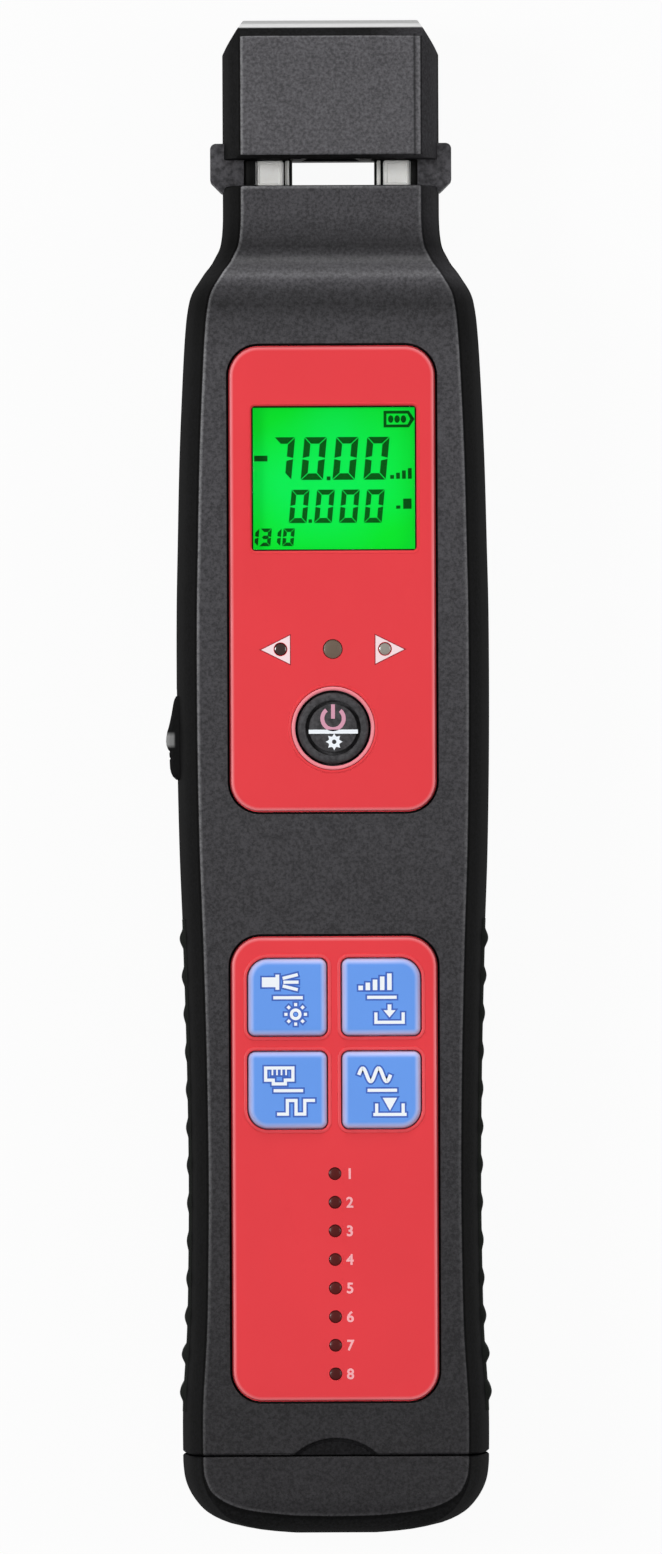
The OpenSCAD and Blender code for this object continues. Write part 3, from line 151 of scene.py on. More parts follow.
def through(points, step):
    """A smooth curve in the plane through the points, as points about step apart."""
    p = [Vector(points[0]) * 2 - Vector(points[1])] + [Vector(q) for q in points]
    p.append(p[-1] * 2 - p[-2])
    out = []
    for i in range(1, len(p) - 2):
        t = [0.0]
        for a, b in zip(p[i - 1:i + 2], p[i:i + 3]):
            t.append(t[-1] + max((b - a).length, 1e-6) ** 0.5)
        count = max(1, math.ceil((p[i + 1] - p[i]).length / step))
        for k in range(count):
            s = t[1] + (t[2] - t[1]) * k / count
            a = [between(p[i - 1 + j], p[i + j], t[j], t[j + 1], s) for j in range(3)]
            b = [between(a[j], a[j + 1], t[j], t[j + 2], s) for j in range(2)]
            out.append(between(b[0], b[1], t[1], t[2], s))
    out.append(p[-2])
    return out


SIDE_POINTS = [(half * BODY_W / 2, y * Y_TOP) for y, half in SIDE]
front_share = monotone(FRONT)
back_share = monotone(BACK)
half_share = monotone([(p.y, p.x) for p in through(SIDE_POINTS, 1.0)])
band_out = monotone([(0, 0), (.45, .2), (.78, .5), (.97, 1)])


def half_w(y):
    """Half the body's width. The photo shows its side, below the face, a little smaller."""
    return half_share(y * SIDE_SHARE) / SIDE_SHARE


def front_z(y):
    return FACE_Z * front_share(y / Y_TOP)


def back_z(y):
    return FACE_Z * back_share(y / Y_TOP)


def band(w):
    """Width of the dark slope beside the front face where the body is w wide on each side."""
    share = min(max((w - NECK_W / 2) / (BODY_W / 2 - NECK_W / 2), 0), 1)
    return min(NECK_BAND + (BAND - NECK_BAND) * share, w * 0.3)


def crease(w):
    """Distance of the front face's edge from the centre line where the body is w wide on each side."""
    return w - band(w) - EDGE


def arc(x, y, r, angles):
    """Points round x, y at angles in degrees."""
    return [(x + r * math.cos(math.radians(a)), y + r * math.sin(math.radians(a))) for a in angles]


def section(y, w=None, face=None):
    """Right half of the body's outline across its length, from the back to the front. The front face has
    a few points near its edge, or as many even ones as face says."""
    w = half_w(y) if w is None else w
    zb, zf = back_z(y), front_z(y)
    r = min(BACK_R, w * 0.6, (PART_Z - zb) * 0.9)
    turns = [k * math.pi / 16 for k in range(9)]
    pts = [(w - r + r * math.sin(a), zb + r - r * math.cos(a)) for a in turns] + [(w, PART_Z)]
    top = zf - EDGE - PART_Z
    pts += [(w - band(w) * band_out(k / 10 * 0.97), PART_Z + top * (k / 10)) for k in range(1, 11)]
    inner = crease(w)
    pts += arc(inner, zf - EDGE, EDGE, (30, 60, 90))
    if face is None:
        xs = [max(inner - d, inner * (0.9 - 0.2 * k)) for k, d in enumerate((0.35, 1.0, 2.2, 4.2))]
    else:
        xs = [inner - inner * (k + 1) / (face + 1) for k in range(face)]
    return pts + [(x, zf) for x in xs]


def hollow(y, gap=0.0, w=None):
    """Right half of the space inside the body."""
    w = (half_w(y) if w is None else w) - WALL - gap
    zb, zf = back_z(y) + WALL + gap, front_z(y) - FACE_WALL - gap
    return [(w - BACK_R / 2, zb), (w, zb + BACK_R / 2), (w, PART_Z),
            (w - BAND * 0.5, PART_Z + 0.78 * (zf - PART_Z)), (w - BAND - EDGE, zf)]


def ring(half, y):
    """Whole outline at y from the right half of it."""
    return [(x, y, z) for x, z in half] + [(-x, y, z) for x, z in reversed(half)]


# Mesh building, in mm
def make(name, verts, faces):
    me = bpy.data.meshes.new(name)
    me.from_pydata([(x * MM, y * MM, z * MM) for x, y, z in verts], [], faces)
    me.validate()
    me.update()
    ob = bpy.data.objects.new(name, me)
    scene.collection.objects.link(ob)
    return ob


def outward(ob):
    """Turns a closed mesh so that its faces look outward."""
    me = ob.data
    me.calc_loop_triangles()
    vol = 0.0
    for t in me.loop_triangles:
        a, b, c = (me.vertices[i].co for i in t.vertices)
        vol += a.dot(b.cross(c))
    if vol < 0:
        me.flip_normals()
    return ob


def loft(name, rings, closed=False):
    """Solid through rings of points. It has a cap at each end, or its last ring joins the first."""
    n, m = len(rings[0]), len(rings)
    faces = [(k * n + i, k * n + (i + 1) % n, (k + 1) % m * n + (i + 1) % n, (k + 1) % m * n + i)
             for k in range(m if closed else m - 1) for i in range(n)]
    if not closed:
        faces += [tuple(range(n - 1, -1, -1)), tuple((m - 1) * n + i for i in range(n))]
    return outward(make(name, [v for r in rings for v in r], faces))


def prism(name, outline, levels):
    """Stack of outlines: outline(offset) at each (z, offset)."""
    return loft(name, [[(x, y, z) for x, y in outline(o)] for z, o in levels])


def upright(pts, z):
    """Solid from a plan of points, between two heights."""
    return loft("tool", [[(x, y, h) for x, y in pts] for h in z])


def box(x, y, z):
    return make("tool", [(a, b, c) for a in x for b in y for c in z],
                [(0, 1, 3, 2), (4, 6, 7, 5), (0, 4, 5, 1), (2, 3, 7, 6), (0, 2, 6, 4), (1, 5, 7, 3)])


def slab(y, z):
    """Box as wide as the body and more."""
    return box((-BODY_W, BODY_W), y, z)


def sides(s, a, b):
    """Span from a to b on the side that s gives, in rising order."""
    return sorted((s * a, s * b))


def wider(span, by):
    return span[0] - by, span[1] + by


def around(middle, size):
    return middle - size / 2, middle + size / 2


def circle(x, y, r, n=48):
    def at(o=0):
        return [(x + (r + o) * math.cos(2 * math.pi * i / n), y + (r + o) * math.sin(2 * math.pi * i / n))
                for i in range(n)]
    return at


def post(r, x, y, z, n=48):
    return prism("tool", circle(x, y, r, n), [(z[0], 0), (z[1], 0)])


def along(axis, r, a, b, ends, n=40):
    """Round bar along X or Y: a and b are its place on the other two axes."""
    pts = circle(a, b, r, n)()
    return loft("tool", [[(e, p, q) if axis == "X" else (p, e, q) for p, q in pts] for e in ends])


def rounded(cx, cy, w, l, radii, n=10):
    """Rectangle with one radius, or with one for each quadrant's corner. It grows by an offset."""
    radii = radii if isinstance(radii, list) else [radii] * 4

    def at(o=0):
        out = []
        for q, (sx, sy) in enumerate(((1, 1), (-1, 1), (-1, -1), (1, -1))):
            r = max(radii[q] + o, 0.01)
            out += arc(cx + sx * (w / 2 + o - r), cy + sy * (l / 2 + o - r), r,
                       [90 * q + 90 * k / n for k in range(n + 1)])
        return out
    return at


def inside(x, y, cx, cy, w, l, radii):
    """How far a point lies inside a rectangle with a radius for each corner. It is below zero outside."""
    dx, dy = x - cx, y - cy
    r = radii[(0 if dx >= 0 else 1) if dy >= 0 else (2 if dx < 0 else 3)]
    ax, ay = abs(dx) - (w / 2 - r), abs(dy) - (l / 2 - r)
    return r - math.hypot(max(ax, 0), max(ay, 0)) - min(max(ax, ay), 0)


def lathe(name, profile, x, y, n=64):
    """Turned solid round an axis along Z. The profile is (radius, z) from the bottom to the top centre."""
    verts, faces, start = [], [], []
    for r, z in profile:
        start.append(len(verts))
        verts += [(px, py, z) for px, py in circle(x, y, r, n)()] if r else [(x, y, z)]
    for k in range(len(profile) - 1):
        a, b = start[k], start[k + 1]
        for i in range(n):
            j = (i + 1) % n
            if not profile[k][0]:
                faces.append((a, b + j, b + i))
            elif not profile[k + 1][0]:
                faces.append((a + i, a + j, b))
            else:
                faces.append((a + i, a + j, b + j, b + i))
    return outward(make(name, verts, faces))


def drop(ob):
    me = ob.data
    bpy.data.objects.remove(ob)
    bpy.data.meshes.remove(me)


def applied(ob, mod):
    """Replaces an object's mesh by what a modifier makes of it."""
    dg = bpy.context.evaluated_depsgraph_get()
    me = bpy.data.meshes.new_from_object(ob.evaluated_get(dg))
    ob.modifiers.remove(mod)
    old = ob.data
    ob.data = me
    bpy.data.meshes.remove(old)
    return ob


def cut(ob, *tools, op="DIFFERENCE"):
    """Applies a boolean with each tool in turn. The tools are thrown away."""
    for tool in tools:
        mod = ob.modifiers.new("cut", "BOOLEAN")
        mod.operation = op
        mod.object = tool
        mod.solver = "MANIFOLD"
        applied(ob, mod)
        drop(tool)
    return ob


def keep(ob, *tools):
    return cut(ob, *tools, op="INTERSECT")


def join(ob, *tools):
    return cut(ob, *tools, op="UNION")


def bevel(ob, width, segments=2, angle=35):
    """Rounds the edges of a mesh."""
    mod = ob.modifiers.new("bevel", "BEVEL")
    mod.width = width * MM
    mod.segments = segments
    mod.limit_method = "ANGLE"
    mod.angle_limit = math.radians(angle)
    mod.use_clamp_overlap = True
    return applied(ob, mod)


def merged(parts):
    """One mesh of several, side by side."""
    verts, faces = [], []
    for ob in parts:
        start = len(verts)
        verts += [tuple(c / MM for c in v.co) for v in ob.data.vertices]
        faces += [tuple(start + i for i in p.vertices) for p in ob.data.polygons]
    for ob in parts:
        drop(ob)
    return make("merged", verts, faces)


def finished(ob, name, body, slot, look, *replaced, angle=32):
    """Names a piece, shades it, gives it its look, hangs it on the body it rides on, and hides the nodes it
    stands in for.
    """
    ob.name = name
    me = ob.data
    me.name = name
    me.polygons.foreach_set("use_smooth", [True] * len(me.polygons))
    me.set_sharp_from_angle(angle=math.radians(angle))
    me.materials.clear()
    me.materials.append(M[look])
    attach(ob, body)
    if replaced:
        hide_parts(*replaced)
    return ob


# Materials
def lin(*rgb):
    """Linear colour of an sRGB one given in 0 to 255."""
    shares = [c / 255 for c in rgb]
    return tuple(c / 12.92 if c <= 0.04045 else ((c + 0.055) / 1.055) ** 2.4 for c in shares) + (1.0,)


def shade_of(color, share):
    return tuple(min(c * share, 1.0) for c in color[:3]) + (1.0,)


class Look:
    """A material in the making, with short calls for its nodes."""

    def __init__(self, name, rough=0.5, metal=0.0, coat=0.0, coat_rough=0.1, specular=0.5):
        self.mat = bpy.data.materials.new(name + "_look")
        self.mat.use_nodes = True
        self.tree = self.mat.node_tree
        self.shader = self.tree.nodes["Principled BSDF"]
        self.set("Roughness", rough)
        self.set("Metallic", metal)
        self.set("Coat Weight", coat)
        self.set("Coat Roughness", coat_rough)
        self.set("Specular IOR Level", specular)
        self.coords = self.add("ShaderNodeTexCoord").outputs["Object"]

    def put(self, socket, value):
        """Gives a socket a constant, or links another node's output to it."""
        if isinstance(value, bpy.types.NodeSocket):
            self.tree.links.new(value, socket)
        else:
            socket.default_value = value

    def set(self, name, value):
        self.put(self.shader.inputs[name], value)

    def add(self, kind, inputs=None, **props):
        n = self.tree.nodes.new(kind)
        for k, v in props.items():
            setattr(n, k, v)
        for k, v in (inputs or {}).items():
            self.put(n.inputs[k], v)
        return n

    def noise(self, size_mm, detail=2.0, rough=0.5, stretch=(1, 1, 1)):
        """Noise whose spots are about size_mm wide, from 0 to 1."""
        m = self.add("ShaderNodeMapping", {"Scale": stretch, "Vector": self.coords})
        return self.add("ShaderNodeTexNoise", {"Scale": 0.6 / (size_mm * MM), "Detail": detail,
                                               "Roughness": rough, "Vector": m.outputs[0]}).outputs["Fac"]

    def spread(self, value, low, high, a=0.0, b=1.0):
        """The values from low to high, stretched over a to b."""
        return self.add("ShaderNodeMapRange", {"From Min": low, "From Max": high, "To Min": a, "To Max": b,
                                               "Value": value}).outputs["Result"]

    def math(self, op, a, b):
        return self.add("ShaderNodeMath", {0: a, 1: b}, operation=op).outputs[0]

    def times(self, first, *more):
        for value in more:
            first = self.math("MULTIPLY", first, value)
        return first

    def mix(self, fac, a, b):
        return self.add("ShaderNodeMix", {0: fac, 6: a, 7: b}, data_type="RGBA").outputs[2]

    def drift(self, fac, color, down, up):
        """The colour, darker by down where fac is 0 and paler by up where it is 1."""
        return self.mix(fac, shade_of(color, 1 - down), shade_of(color, 1 + up))

    def grain(self, fine, wide_mm):
        """Fine noise with a little slow drift, spread over 0 to 1."""
        wide = self.noise(wide_mm)
        return self.spread(self.math("ADD", self.times(fine, 0.88), self.times(wide, 0.12)), 0.38, 0.62)

    def place(self, axis):
        return self.add("ShaderNodeSeparateXYZ", {"Vector": self.coords}).outputs[axis]

    def reach(self, axis, low, high, a=0.0, b=1.0):
        """Runs from a to b between two places, in metres, on an axis."""
        return self.spread(self.place(axis), low, high, a, b)

    def rim(self):
        """How far inside its edge a point lies, in mm."""
        return self.add("ShaderNodeAttribute", attribute_name="rim").outputs["Fac"]

    def done(self, color, fine, rough, height_mm=0.0, strength=1.0):
        """Sets colour, a range of roughness over the fine noise, and a relief."""
        self.set("Base Color", color)
        if rough:
            self.set("Roughness", self.spread(fine, 0.3, 0.7, *rough))
        if height_mm:
            self.set("Normal", self.add("ShaderNodeBump", {"Strength": strength, "Distance": height_mm * MM,
                                                           "Height": fine}).outputs["Normal"])
        return self.mat


def textured(name, rgb, rough, grain=0.5, mottle=0.25, height=0.05):
    """Spark-textured moulding: a fine mottled grain in colour, roughness and relief."""
    n = Look(name, rough, specular=0.1)
    fine = n.noise(grain, 3.0, 0.6)
    color = n.drift(n.grain(fine, grain * 6), lin(*rgb), mottle, mottle)
    return n.done(color, fine, (rough - 0.08, rough + 0.08), height)


def smooth(name, rgb, rough, drift=0.05, **more):
    """Plain moulded or printed surface: a faint drift of tone and a trace of orange peel."""
    n = Look(name, rough, **more)
    color = n.drift(n.spread(n.noise(9.0), 0.3, 0.7), lin(*rgb), drift, drift)
    return n.done(color, n.noise(0.7), (rough - 0.04, rough + 0.04), 0.01, 0.5)


def highlight_rimmed(name, rgb, highlight_rgb, near, far, share, rough, specular):
    """Moulding with a painted highlight on its rounded edge: the paler colour fades out between near and far
    mm from the edge.
    """
    n = Look(name, rough, specular=specular)
    wide = n.noise(9.0)
    # Painted highlight along the edge, from the rim distance
    edge = n.times(n.spread(n.rim(), far, near), n.spread(wide, 0.35, 0.6, share * 0.7, share))
    color = n.mix(edge, n.drift(n.spread(wide, 0.3, 0.7), lin(*rgb), 0.02, 0.02), lin(*highlight_rgb))
    return n.done(color, n.noise(0.7), (rough - 0.04, rough + 0.04), 0.01, 0.5)


def brushed(name, rgb, rough, axis="Y"):
    """Drawn or turned metal with fine lines along one axis."""
    n = Look(name, rough, metal=1.0)
    lines = n.noise(0.25, 3.0, 0.6, [0.04 if a == axis else 1 for a in "XYZ"])
    color = n.drift(n.spread(lines, 0.35, 0.65), lin(*rgb), 0.14, 0.1)
    return n.done(color, lines, (rough - 0.07, rough + 0.1), 0.006, 0.6)


def face_and_sides(name, low, high, line):
    """Black moulding whose front face is grey, with a painted highlight along the face's edge, stronger on
    the left and towards the top, and painted shade in a dark line just outside that edge. The face's two
    tones for its two ends along the body paint shade: darker towards the lower end. Painted light makes the
    right slope paler from the shoulder up."""
    n = Look(name, 0.55, specular=0.0, coat_rough=0.42)
    fine = n.noise(0.25, 3.0, 0.7)
    tone = n.grain(fine, 1.6)
    rim = n.rim()
    # Painted shade: the face darker towards the lower end of the body
    ends = n.reach("Y", -0.085, 0.045)
    face = n.mix(tone, *[n.mix(ends, shade_of(low, share), shade_of(high, share)) for share in (0.62, 1.38)])
    # Painted light: the right slope is paler from the shoulder up
    right_slope_painted_light = n.times(n.reach("X", 0.005, 0.012), n.reach("Y", 0.0605, 0.0660),
                          n.reach("Z", 0.0150, 0.0190))
    side = n.mix(tone, n.mix(right_slope_painted_light, lin(20, 20, 20), lin(48, 47, 49)),
                 n.mix(right_slope_painted_light, lin(30, 30, 31), lin(63, 62, 65)))
    # Painted shade: a dark line just outside the face's edge
    beside = n.times(n.spread(rim, -0.75, -0.4), n.spread(rim, -0.05, -0.16), 0.6)
    side = n.mix(beside, side, lin(10, 10, 10))
    # Painted highlight: a pale line along the face's edge, stronger on the left and towards the top
    edge = n.times(n.spread(rim, -0.12, -0.02), n.spread(rim, 0.36, 0.06),
                   n.spread(fine, 0.3, 0.6, 0.35, 1.0),
                   n.reach("Y", -0.078, 0.030, 0.22, 1.0), n.reach("X", -0.011, 0.011, 1.0, 0.45), line)
    n.set("Coat Weight", n.spread(rim, -0.12, 0.0, 0.06, 0.45))
    return n, n.mix(edge, n.mix(n.spread(rim, -0.16, -0.05), side, face), lin(150, 150, 152)), fine


# Painted light on the shoulder, as multipliers of the face's tone along Y: a painted highlight on the crest,
# painted shade in the hollows either side, and the neck a little darker
PAINTED_SHOULDER_LIGHT = ((0.0560, 0.97), (0.0585, 0.82), (0.0605, 0.72), (0.0625, 0.43), (0.0643, 0.62), (0.0663, 1.3),
            (0.0682, 0.78), (0.0703, 0.38), (0.0722, 0.64), (0.0745, 0.9), (0.0790, 0.86))


def shell_material():
    """Front shell and end cover. The curved shoulder has a painted highlight on its crest and painted shade
    in the two darker hollows either side.
    """
    n, base, fine = face_and_sides("shell_front", lin(44, 43, 45), lin(69, 68, 71), 0.62)
    low, high = PAINTED_SHOULDER_LIGHT[0][0], PAINTED_SHOULDER_LIGHT[-1][0]
    shoulder_paint_ramp = n.add("ShaderNodeValToRGB", {0: n.reach("Y", low, high)})
    marks = shoulder_paint_ramp.color_ramp.elements
    for k, (y, share) in enumerate(PAINTED_SHOULDER_LIGHT):
        mark = marks[k] if k < 2 else marks.new((y - low) / (high - low))
        mark.position = (y - low) / (high - low)
        mark.color = (share / 2, share / 2, share / 2, 1)
    toned = n.add("ShaderNodeVectorMath", {0: base, 1: shoulder_paint_ramp.outputs[0]}, operation="MULTIPLY")
    color = n.add("ShaderNodeVectorMath", {0: toned.outputs[0], "Scale": 2.0}, operation="SCALE")
    return n.done(color.outputs[0], fine, (0.47, 0.63), 0.045)


def head_material():
    """Head: grey textured face, black bevels, painted shade in a dark line near the face's right edge, and a
    painted reflection on the end above them.
    """
    n, base, fine = face_and_sides("head", lin(83, 82, 85), lin(83, 82, 85), 0.55)
    # Painted shade: a dark line along the face near its right edge
    painted_shade_line = n.times(n.reach("X", 0.0109, 0.0111), n.reach("X", 0.0114, 0.0112),
                     n.reach("Z", 0.0257, 0.0259), 0.75)
    base = n.mix(painted_shade_line, base, lin(22, 22, 24))
    # Painted reflection: the steep end above the face is pale, palest at the very tip
    end = n.times(n.reach("Y", 0.09912, 0.09930), n.reach("Z", 0.0208, 0.0212))
    tip = n.mix(n.reach("Y", 0.09965, 0.09985), lin(226, 226, 226), lin(186, 186, 186))
    return n.done(n.mix(end, base, tip), fine, (0.47, 0.63), 0.045)


def lcd_material():
    """Backlit glass: brighter and paler towards the middle."""
    n = Look("lcd_green", 0.35, specular=0.1)
    off = n.math("ADD", n.place("Y"), -LCD_Y * MM)
    x = n.place("X")
    far = n.math("ADD", n.times(off, off, 1 / (LCD_LEN * MM / 2) ** 2),
                 n.times(x, x, 1 / (LCD_W * MM / 2) ** 2))
    light = n.math("ADD", n.spread(far, 1.3, 0.1), n.spread(n.noise(7.0, 1.0), 0.3, 0.7, -0.25, 0.25))
    light = n.spread(light, 0.0, 1.0)
    dark, pale = lin(0, 240, 44), lin(4, 246, 86)
    n.set("Emission Color", n.mix(light, dark, pale))
    n.set("Emission Strength", 0.62)
    color = n.mix(light, shade_of(dark, 0.5), shade_of(pale, 0.5))
    return n.done(color, n.noise(0.3, 1.0), None, 0.004, 0.3)


def window_material():
    """Clear pane: mostly see-through, with a faint gloss."""
    n = Look("lcd_clear", 0.06)
    fine = n.noise(6.0)
    n.set("Alpha", 0.07)
    return n.done(n.mix(fine, lin(4, 60, 22), lin(8, 70, 28)), fine, (0.04, 0.09))


def board_material():
    """Solder mask over tracks: fine lines in both directions, paler where copper lies below."""
    n = Look("board", 0.35)
    a, b = n.noise(1.2, 1.0, 0.5, (1, 0.08, 1)), n.noise(1.2, 1.0, 0.5, (0.08, 1, 1))
    tracks = n.math("MAXIMUM", n.spread(a, 0.56, 0.58), n.spread(b, 0.58, 0.6))
    n.set("Roughness", n.spread(tracks, 0, 1, 0.4, 0.3))
    return n.done(n.mix(tracks, lin(18, 84, 46), lin(42, 118, 66)), tracks, None, 0.03)


def cell_material():
    """Jacket of a cell: a plain two-tone sleeve with a darker band by the stud."""
    n = Look("cell", 0.3, coat=0.5)
    color = n.mix(n.reach("Y", -0.0302, -0.0298), lin(70, 74, 82), lin(196, 170, 60))
    return n.done(color, n.noise(0.4), (0.24, 0.36), 0.01, 0.4)


def slider_material():
    """Thumb slider: black, with a painted highlight on the crest that the thumb pushes."""
    n = Look("slider", 0.5, specular=0.0)
    fine = n.noise(0.3, 3.0, 0.6)
    # Painted highlight on the crest
    crest = n.times(n.reach("Y", 0.0039, 0.0044), n.reach("Y", 0.0061, 0.0055),
                    n.reach("X", -0.0209, -0.0212), n.reach("Z", 0.0165, 0.0185), 0.85)
    color = n.mix(crest, n.mix(fine, lin(22, 22, 22), lin(36, 36, 37)), lin(160, 160, 160))
    return n.done(color, fine, (0.45, 0.6), 0.02)


def floor_material():
    """Floor that shows white to the camera and in reflections, and keeps a soft shadow."""
    n = Look("floor", 0.9, specular=0.0)
    n.set("Base Color", (0.6, 0.6, 0.6, 1))
    path = n.add("ShaderNodeLightPath").outputs
    seen = n.math("MAXIMUM", path["Is Camera Ray"],
                  n.math("MAXIMUM", path["Is Glossy Ray"], path["Is Transmission Ray"]))
    glow = n.add("ShaderNodeEmission", {"Strength": 1.0})
    part = n.add("ShaderNodeMixShader", {0: n.times(seen, 0.95), 1: n.shader.outputs[0], 2: glow.outputs[0]})
    n.put(n.tree.nodes["Material Output"].inputs["Surface"], part.outputs[0])
    return n.mat


M = {
    "shell": shell_material(),
    "head": head_material(),
    "back": textured("shell_back", (27, 27, 28), 0.55, 0.45, 0.2, 0.04),
    "ear": textured("ear", (76, 75, 78), 0.55, 0.45, 0.42, 0.06),
    "anvil": textured("anvil", (52, 44, 41), 0.6, 0.5, 0.2, 0.02),
    # Faceplates and keys: their paler edges are painted highlights
    "red": highlight_rimmed("faceplate", (231, 63, 70), (244, 152, 158), 0.2, 0.58, 0.66, 0.4, 0.2),
    # Ring round the power key: its pale pink is a painted highlight on the faceplate's edge
    "power_ring_highlight": smooth("rim", (246, 142, 152), 0.35, 0.04, specular=0.3),
    "blue": highlight_rimmed("key_blue", (104, 157, 240), (208, 212, 253), 0.2, 0.8, 0.95, 0.45, 0.25),
    "power": textured("power_key", (68, 67, 69), 0.5, 0.34, 0.3, 0.03),
    "white": smooth("print_white", (244, 249, 255), 0.5, 0.02, specular=0.2),
    "pink": smooth("print_pink", (218, 158, 180), 0.5, 0.04, specular=0.2),
    "pale_print": smooth("print_pale", (248, 222, 226), 0.5, 0.03),
    "lcd": lcd_material(),
    "digit": smooth("digit", (2, 96, 20), 0.5, 0.06, specular=0.05),
    "red_dark": smooth("print_edge", (160, 44, 52), 0.5, 0.04, specular=0.2),
    "halo": smooth("print_blue", (66, 104, 194), 0.5, 0.04, specular=0.2),
    "number": smooth("print_number", (250, 178, 183), 0.5, 0.04, specular=0.2),
    "pane": window_material(),
    "guide": smooth("light_guide", (236, 242, 236), 0.3, 0.03),
    "gold": brushed("contact_gold", (226, 184, 104), 0.25),
    "board": board_material(),
    "black": textured("black_plastic", (22, 22, 22), 0.5, 0.4, 0.15, 0.02),
    "lamp": smooth("lamp_dark", (52, 34, 30), 0.2, 0.2, coat=0.6, coat_rough=0.05),
    "lamp_red": smooth("lamp_red", (84, 22, 20), 0.35, 0.25, specular=0.2, coat=0.15, coat_rough=0.1),
    "lamp_grey": smooth("lamp_grey", (108, 92, 78), 0.3, 0.1, coat=0.4),
    "lamp_pale": smooth("lamp_pale", (150, 146, 138), 0.25, 0.15, coat=0.5, coat_rough=0.05),
    "slider": slider_material(),
    "torch": smooth("torch_lens", (222, 226, 232), 0.08, 0.03, coat=1.0, coat_rough=0.02),
    "pad": textured("fibre_pad", (255, 254, 250), 0.6, 0.2, 0.02, 0.02),
    "steel": brushed("steel", (190, 190, 194), 0.3),
    "screw": brushed("screw", (150, 150, 154), 0.3, "X"),
    "housing": brushed("housing", (176, 176, 180), 0.35),
    "nickel": brushed("adapter", (206, 206, 210), 0.18, "X"),
    "lead": smooth("lead", (30, 30, 30), 0.5, 0.1),
    "cell": cell_material(),
    "rubber": textured("grip", (27, 30, 27), 0.62, 0.35, 0.2, 0.03),
}


# Body shells
YS = sorted({round(p.y, 4) for p in through(SIDE_POINTS, 0.7)}, reverse=True)
CAP_YS = [Y_CAP - CAP_GAP - 0.6 - 0.4 * k for k in range(22)] + [-99.3, -99.6, -99.85, Y_END]
CAP_FACE = 20
END_EDGE = monotone([(0, -97.6), (4.7, -97.5), (10, -97.0), (12.6, -96.5), (14.6, -95.7), (16.4, -94.3),
                     (17.4, -92.0), (18.6, -88.0)])


def end_rings(y, step, face):
    """Outline at an end of a shell, drawn in by the chamfer, and the full one a step further on."""
    w = half_w(y)
    small = [(x * (1 - CHAMFER / w), PART_Z + (z - PART_Z) * (1 - CHAMFER / PART_Z))
             for x, z in section(y, None, face)]
    return [ring(small, y), ring(section(y + step, None, face), y + step)]


def body_skin(low=None, high=None, ys=YS, face=None):
    """Outer form of the body, between chamfered ends where they are given."""
    rings = [ring(section(y, None, face), y) for y in ys
             if (low is None or y > low + CHAMFER) and (high is None or y < high - CHAMFER)]
    if high is not None:
        rings = end_rings(high, -CHAMFER, face) + rings
    if low is not None:
        rings += end_rings(low, CHAMFER, face)[::-1]
    return loft("skin", rings)


def space(ys, gap=0.0, w=None):
    """Solid in the form of the hollow inside the body, through the places ys."""
    return loft("tool", [ring(hollow(y, gap, w), y) for y in ys])


def body_hollow():
    middle = [y for y in YS[::4] if Y_CAP + WALL < y < Y_NECK - 2 * NECK_WALL]
    return space([Y_NECK - NECK_WALL] + middle + [Y_CAP - 1])


def plate_outline(y):
    return rounded(0, sum(y) / 2, PLATE_W, y[1] - y[0], PLATE_R, 16)


def key_radii(i, j):
    """Corner radii of a key: the corner that points away from the other keys is the large one."""
    return [KEY_BIG if q == (i, j) else KEY_SMALL for q in ((1, 0), (0, 0), (0, 1), (1, 1))]


def key_outline(i, j):
    return rounded(KEY_XS[i], KEY_YS[j], KEY_W, KEY_LEN, key_radii(i, j))


KEYS = {(0, 0): "key_top_left", (1, 0): "key_top_right",
        (0, 1): "key_bottom_left", (1, 1): "key_bottom_right"}
LAMP_YS = [LAMP_Y0 - i * LAMP_PITCH for i in range(LAMP_COUNT)]
ROUND_HOLES = ([(0, POWER_Y, RIM_R, 96), (0, DIRECTION_Y, SIGNAL_R)]
               + [(s * DIRECTION_X, DIRECTION_Y, DIRECTION_R) for s in (-1, 1)]
               + [(0, y, LAMP_R, 32) for y in LAMP_YS])


def front_holes(ob, z, flare=None):
    """Cuts the holes for lamps and keys. A flare at z is a small bevel on the edge of each hole."""
    levels = [(z[0], 0), (z[1], 0)] if flare is None else [(z[0], 0), (flare - 0.04, 0), (flare + 0.3, 0.16)]

    def hole(outline, gap):
        return prism("tool", outline, [(h, gap + o) for h, o in levels])
    cut(ob, *[hole(circle(*spot), SEAT) for spot in ROUND_HOLES])
    cut(ob, *[hole(key_outline(*key), KEY_GAP) for key in KEYS])


def grip_span():
    return RIDGE_Y0 - RIDGE_PITCH * (len(RIDGES) - 1) - GRIP_END, RIDGE_Y0 + GRIP_END


def grip_room(s, gap):
    y0, y1 = wider(grip_span(), gap)
    ys = [y0 + (y1 - y0) * k / 40 for k in range(41)]
    return upright([(s * (half_w(y) + 1), y) for y in ys]
                   + [(s * (half_w(y) - GRIP_T - gap), y) for y in reversed(ys)], wider(GRIP_Z, gap))


def ear_room(s):
    return box(sides(s, EAR_X - SEAT, BODY_W), wider(EAR_Y, SEAT), wider(EAR_Z, SEAT))


def side_cuts(ob):
    """What both shells give room to: grips, ears, slider and the plunger's nose."""
    for s in (1, -1):
        cut(ob, grip_room(s, SEAT), ear_room(s))
    low, high = around(sum(PAD_Y) / 2, SHANK_LEN)
    cut(ob, box((-BODY_W / 2 - 1, -BODY_W / 2 + WALL + 1), (low - SLIDE, high + CLAMP_STROKE + SLIDE),
                wider(SHANK_Z, SLIDE)),
        box(wider(around(0, NOSE_W), SLIDE), (Y_NECK - NECK_WALL - 1, Y_NECK + 1), wider(NOSE_Z, SLIDE)))


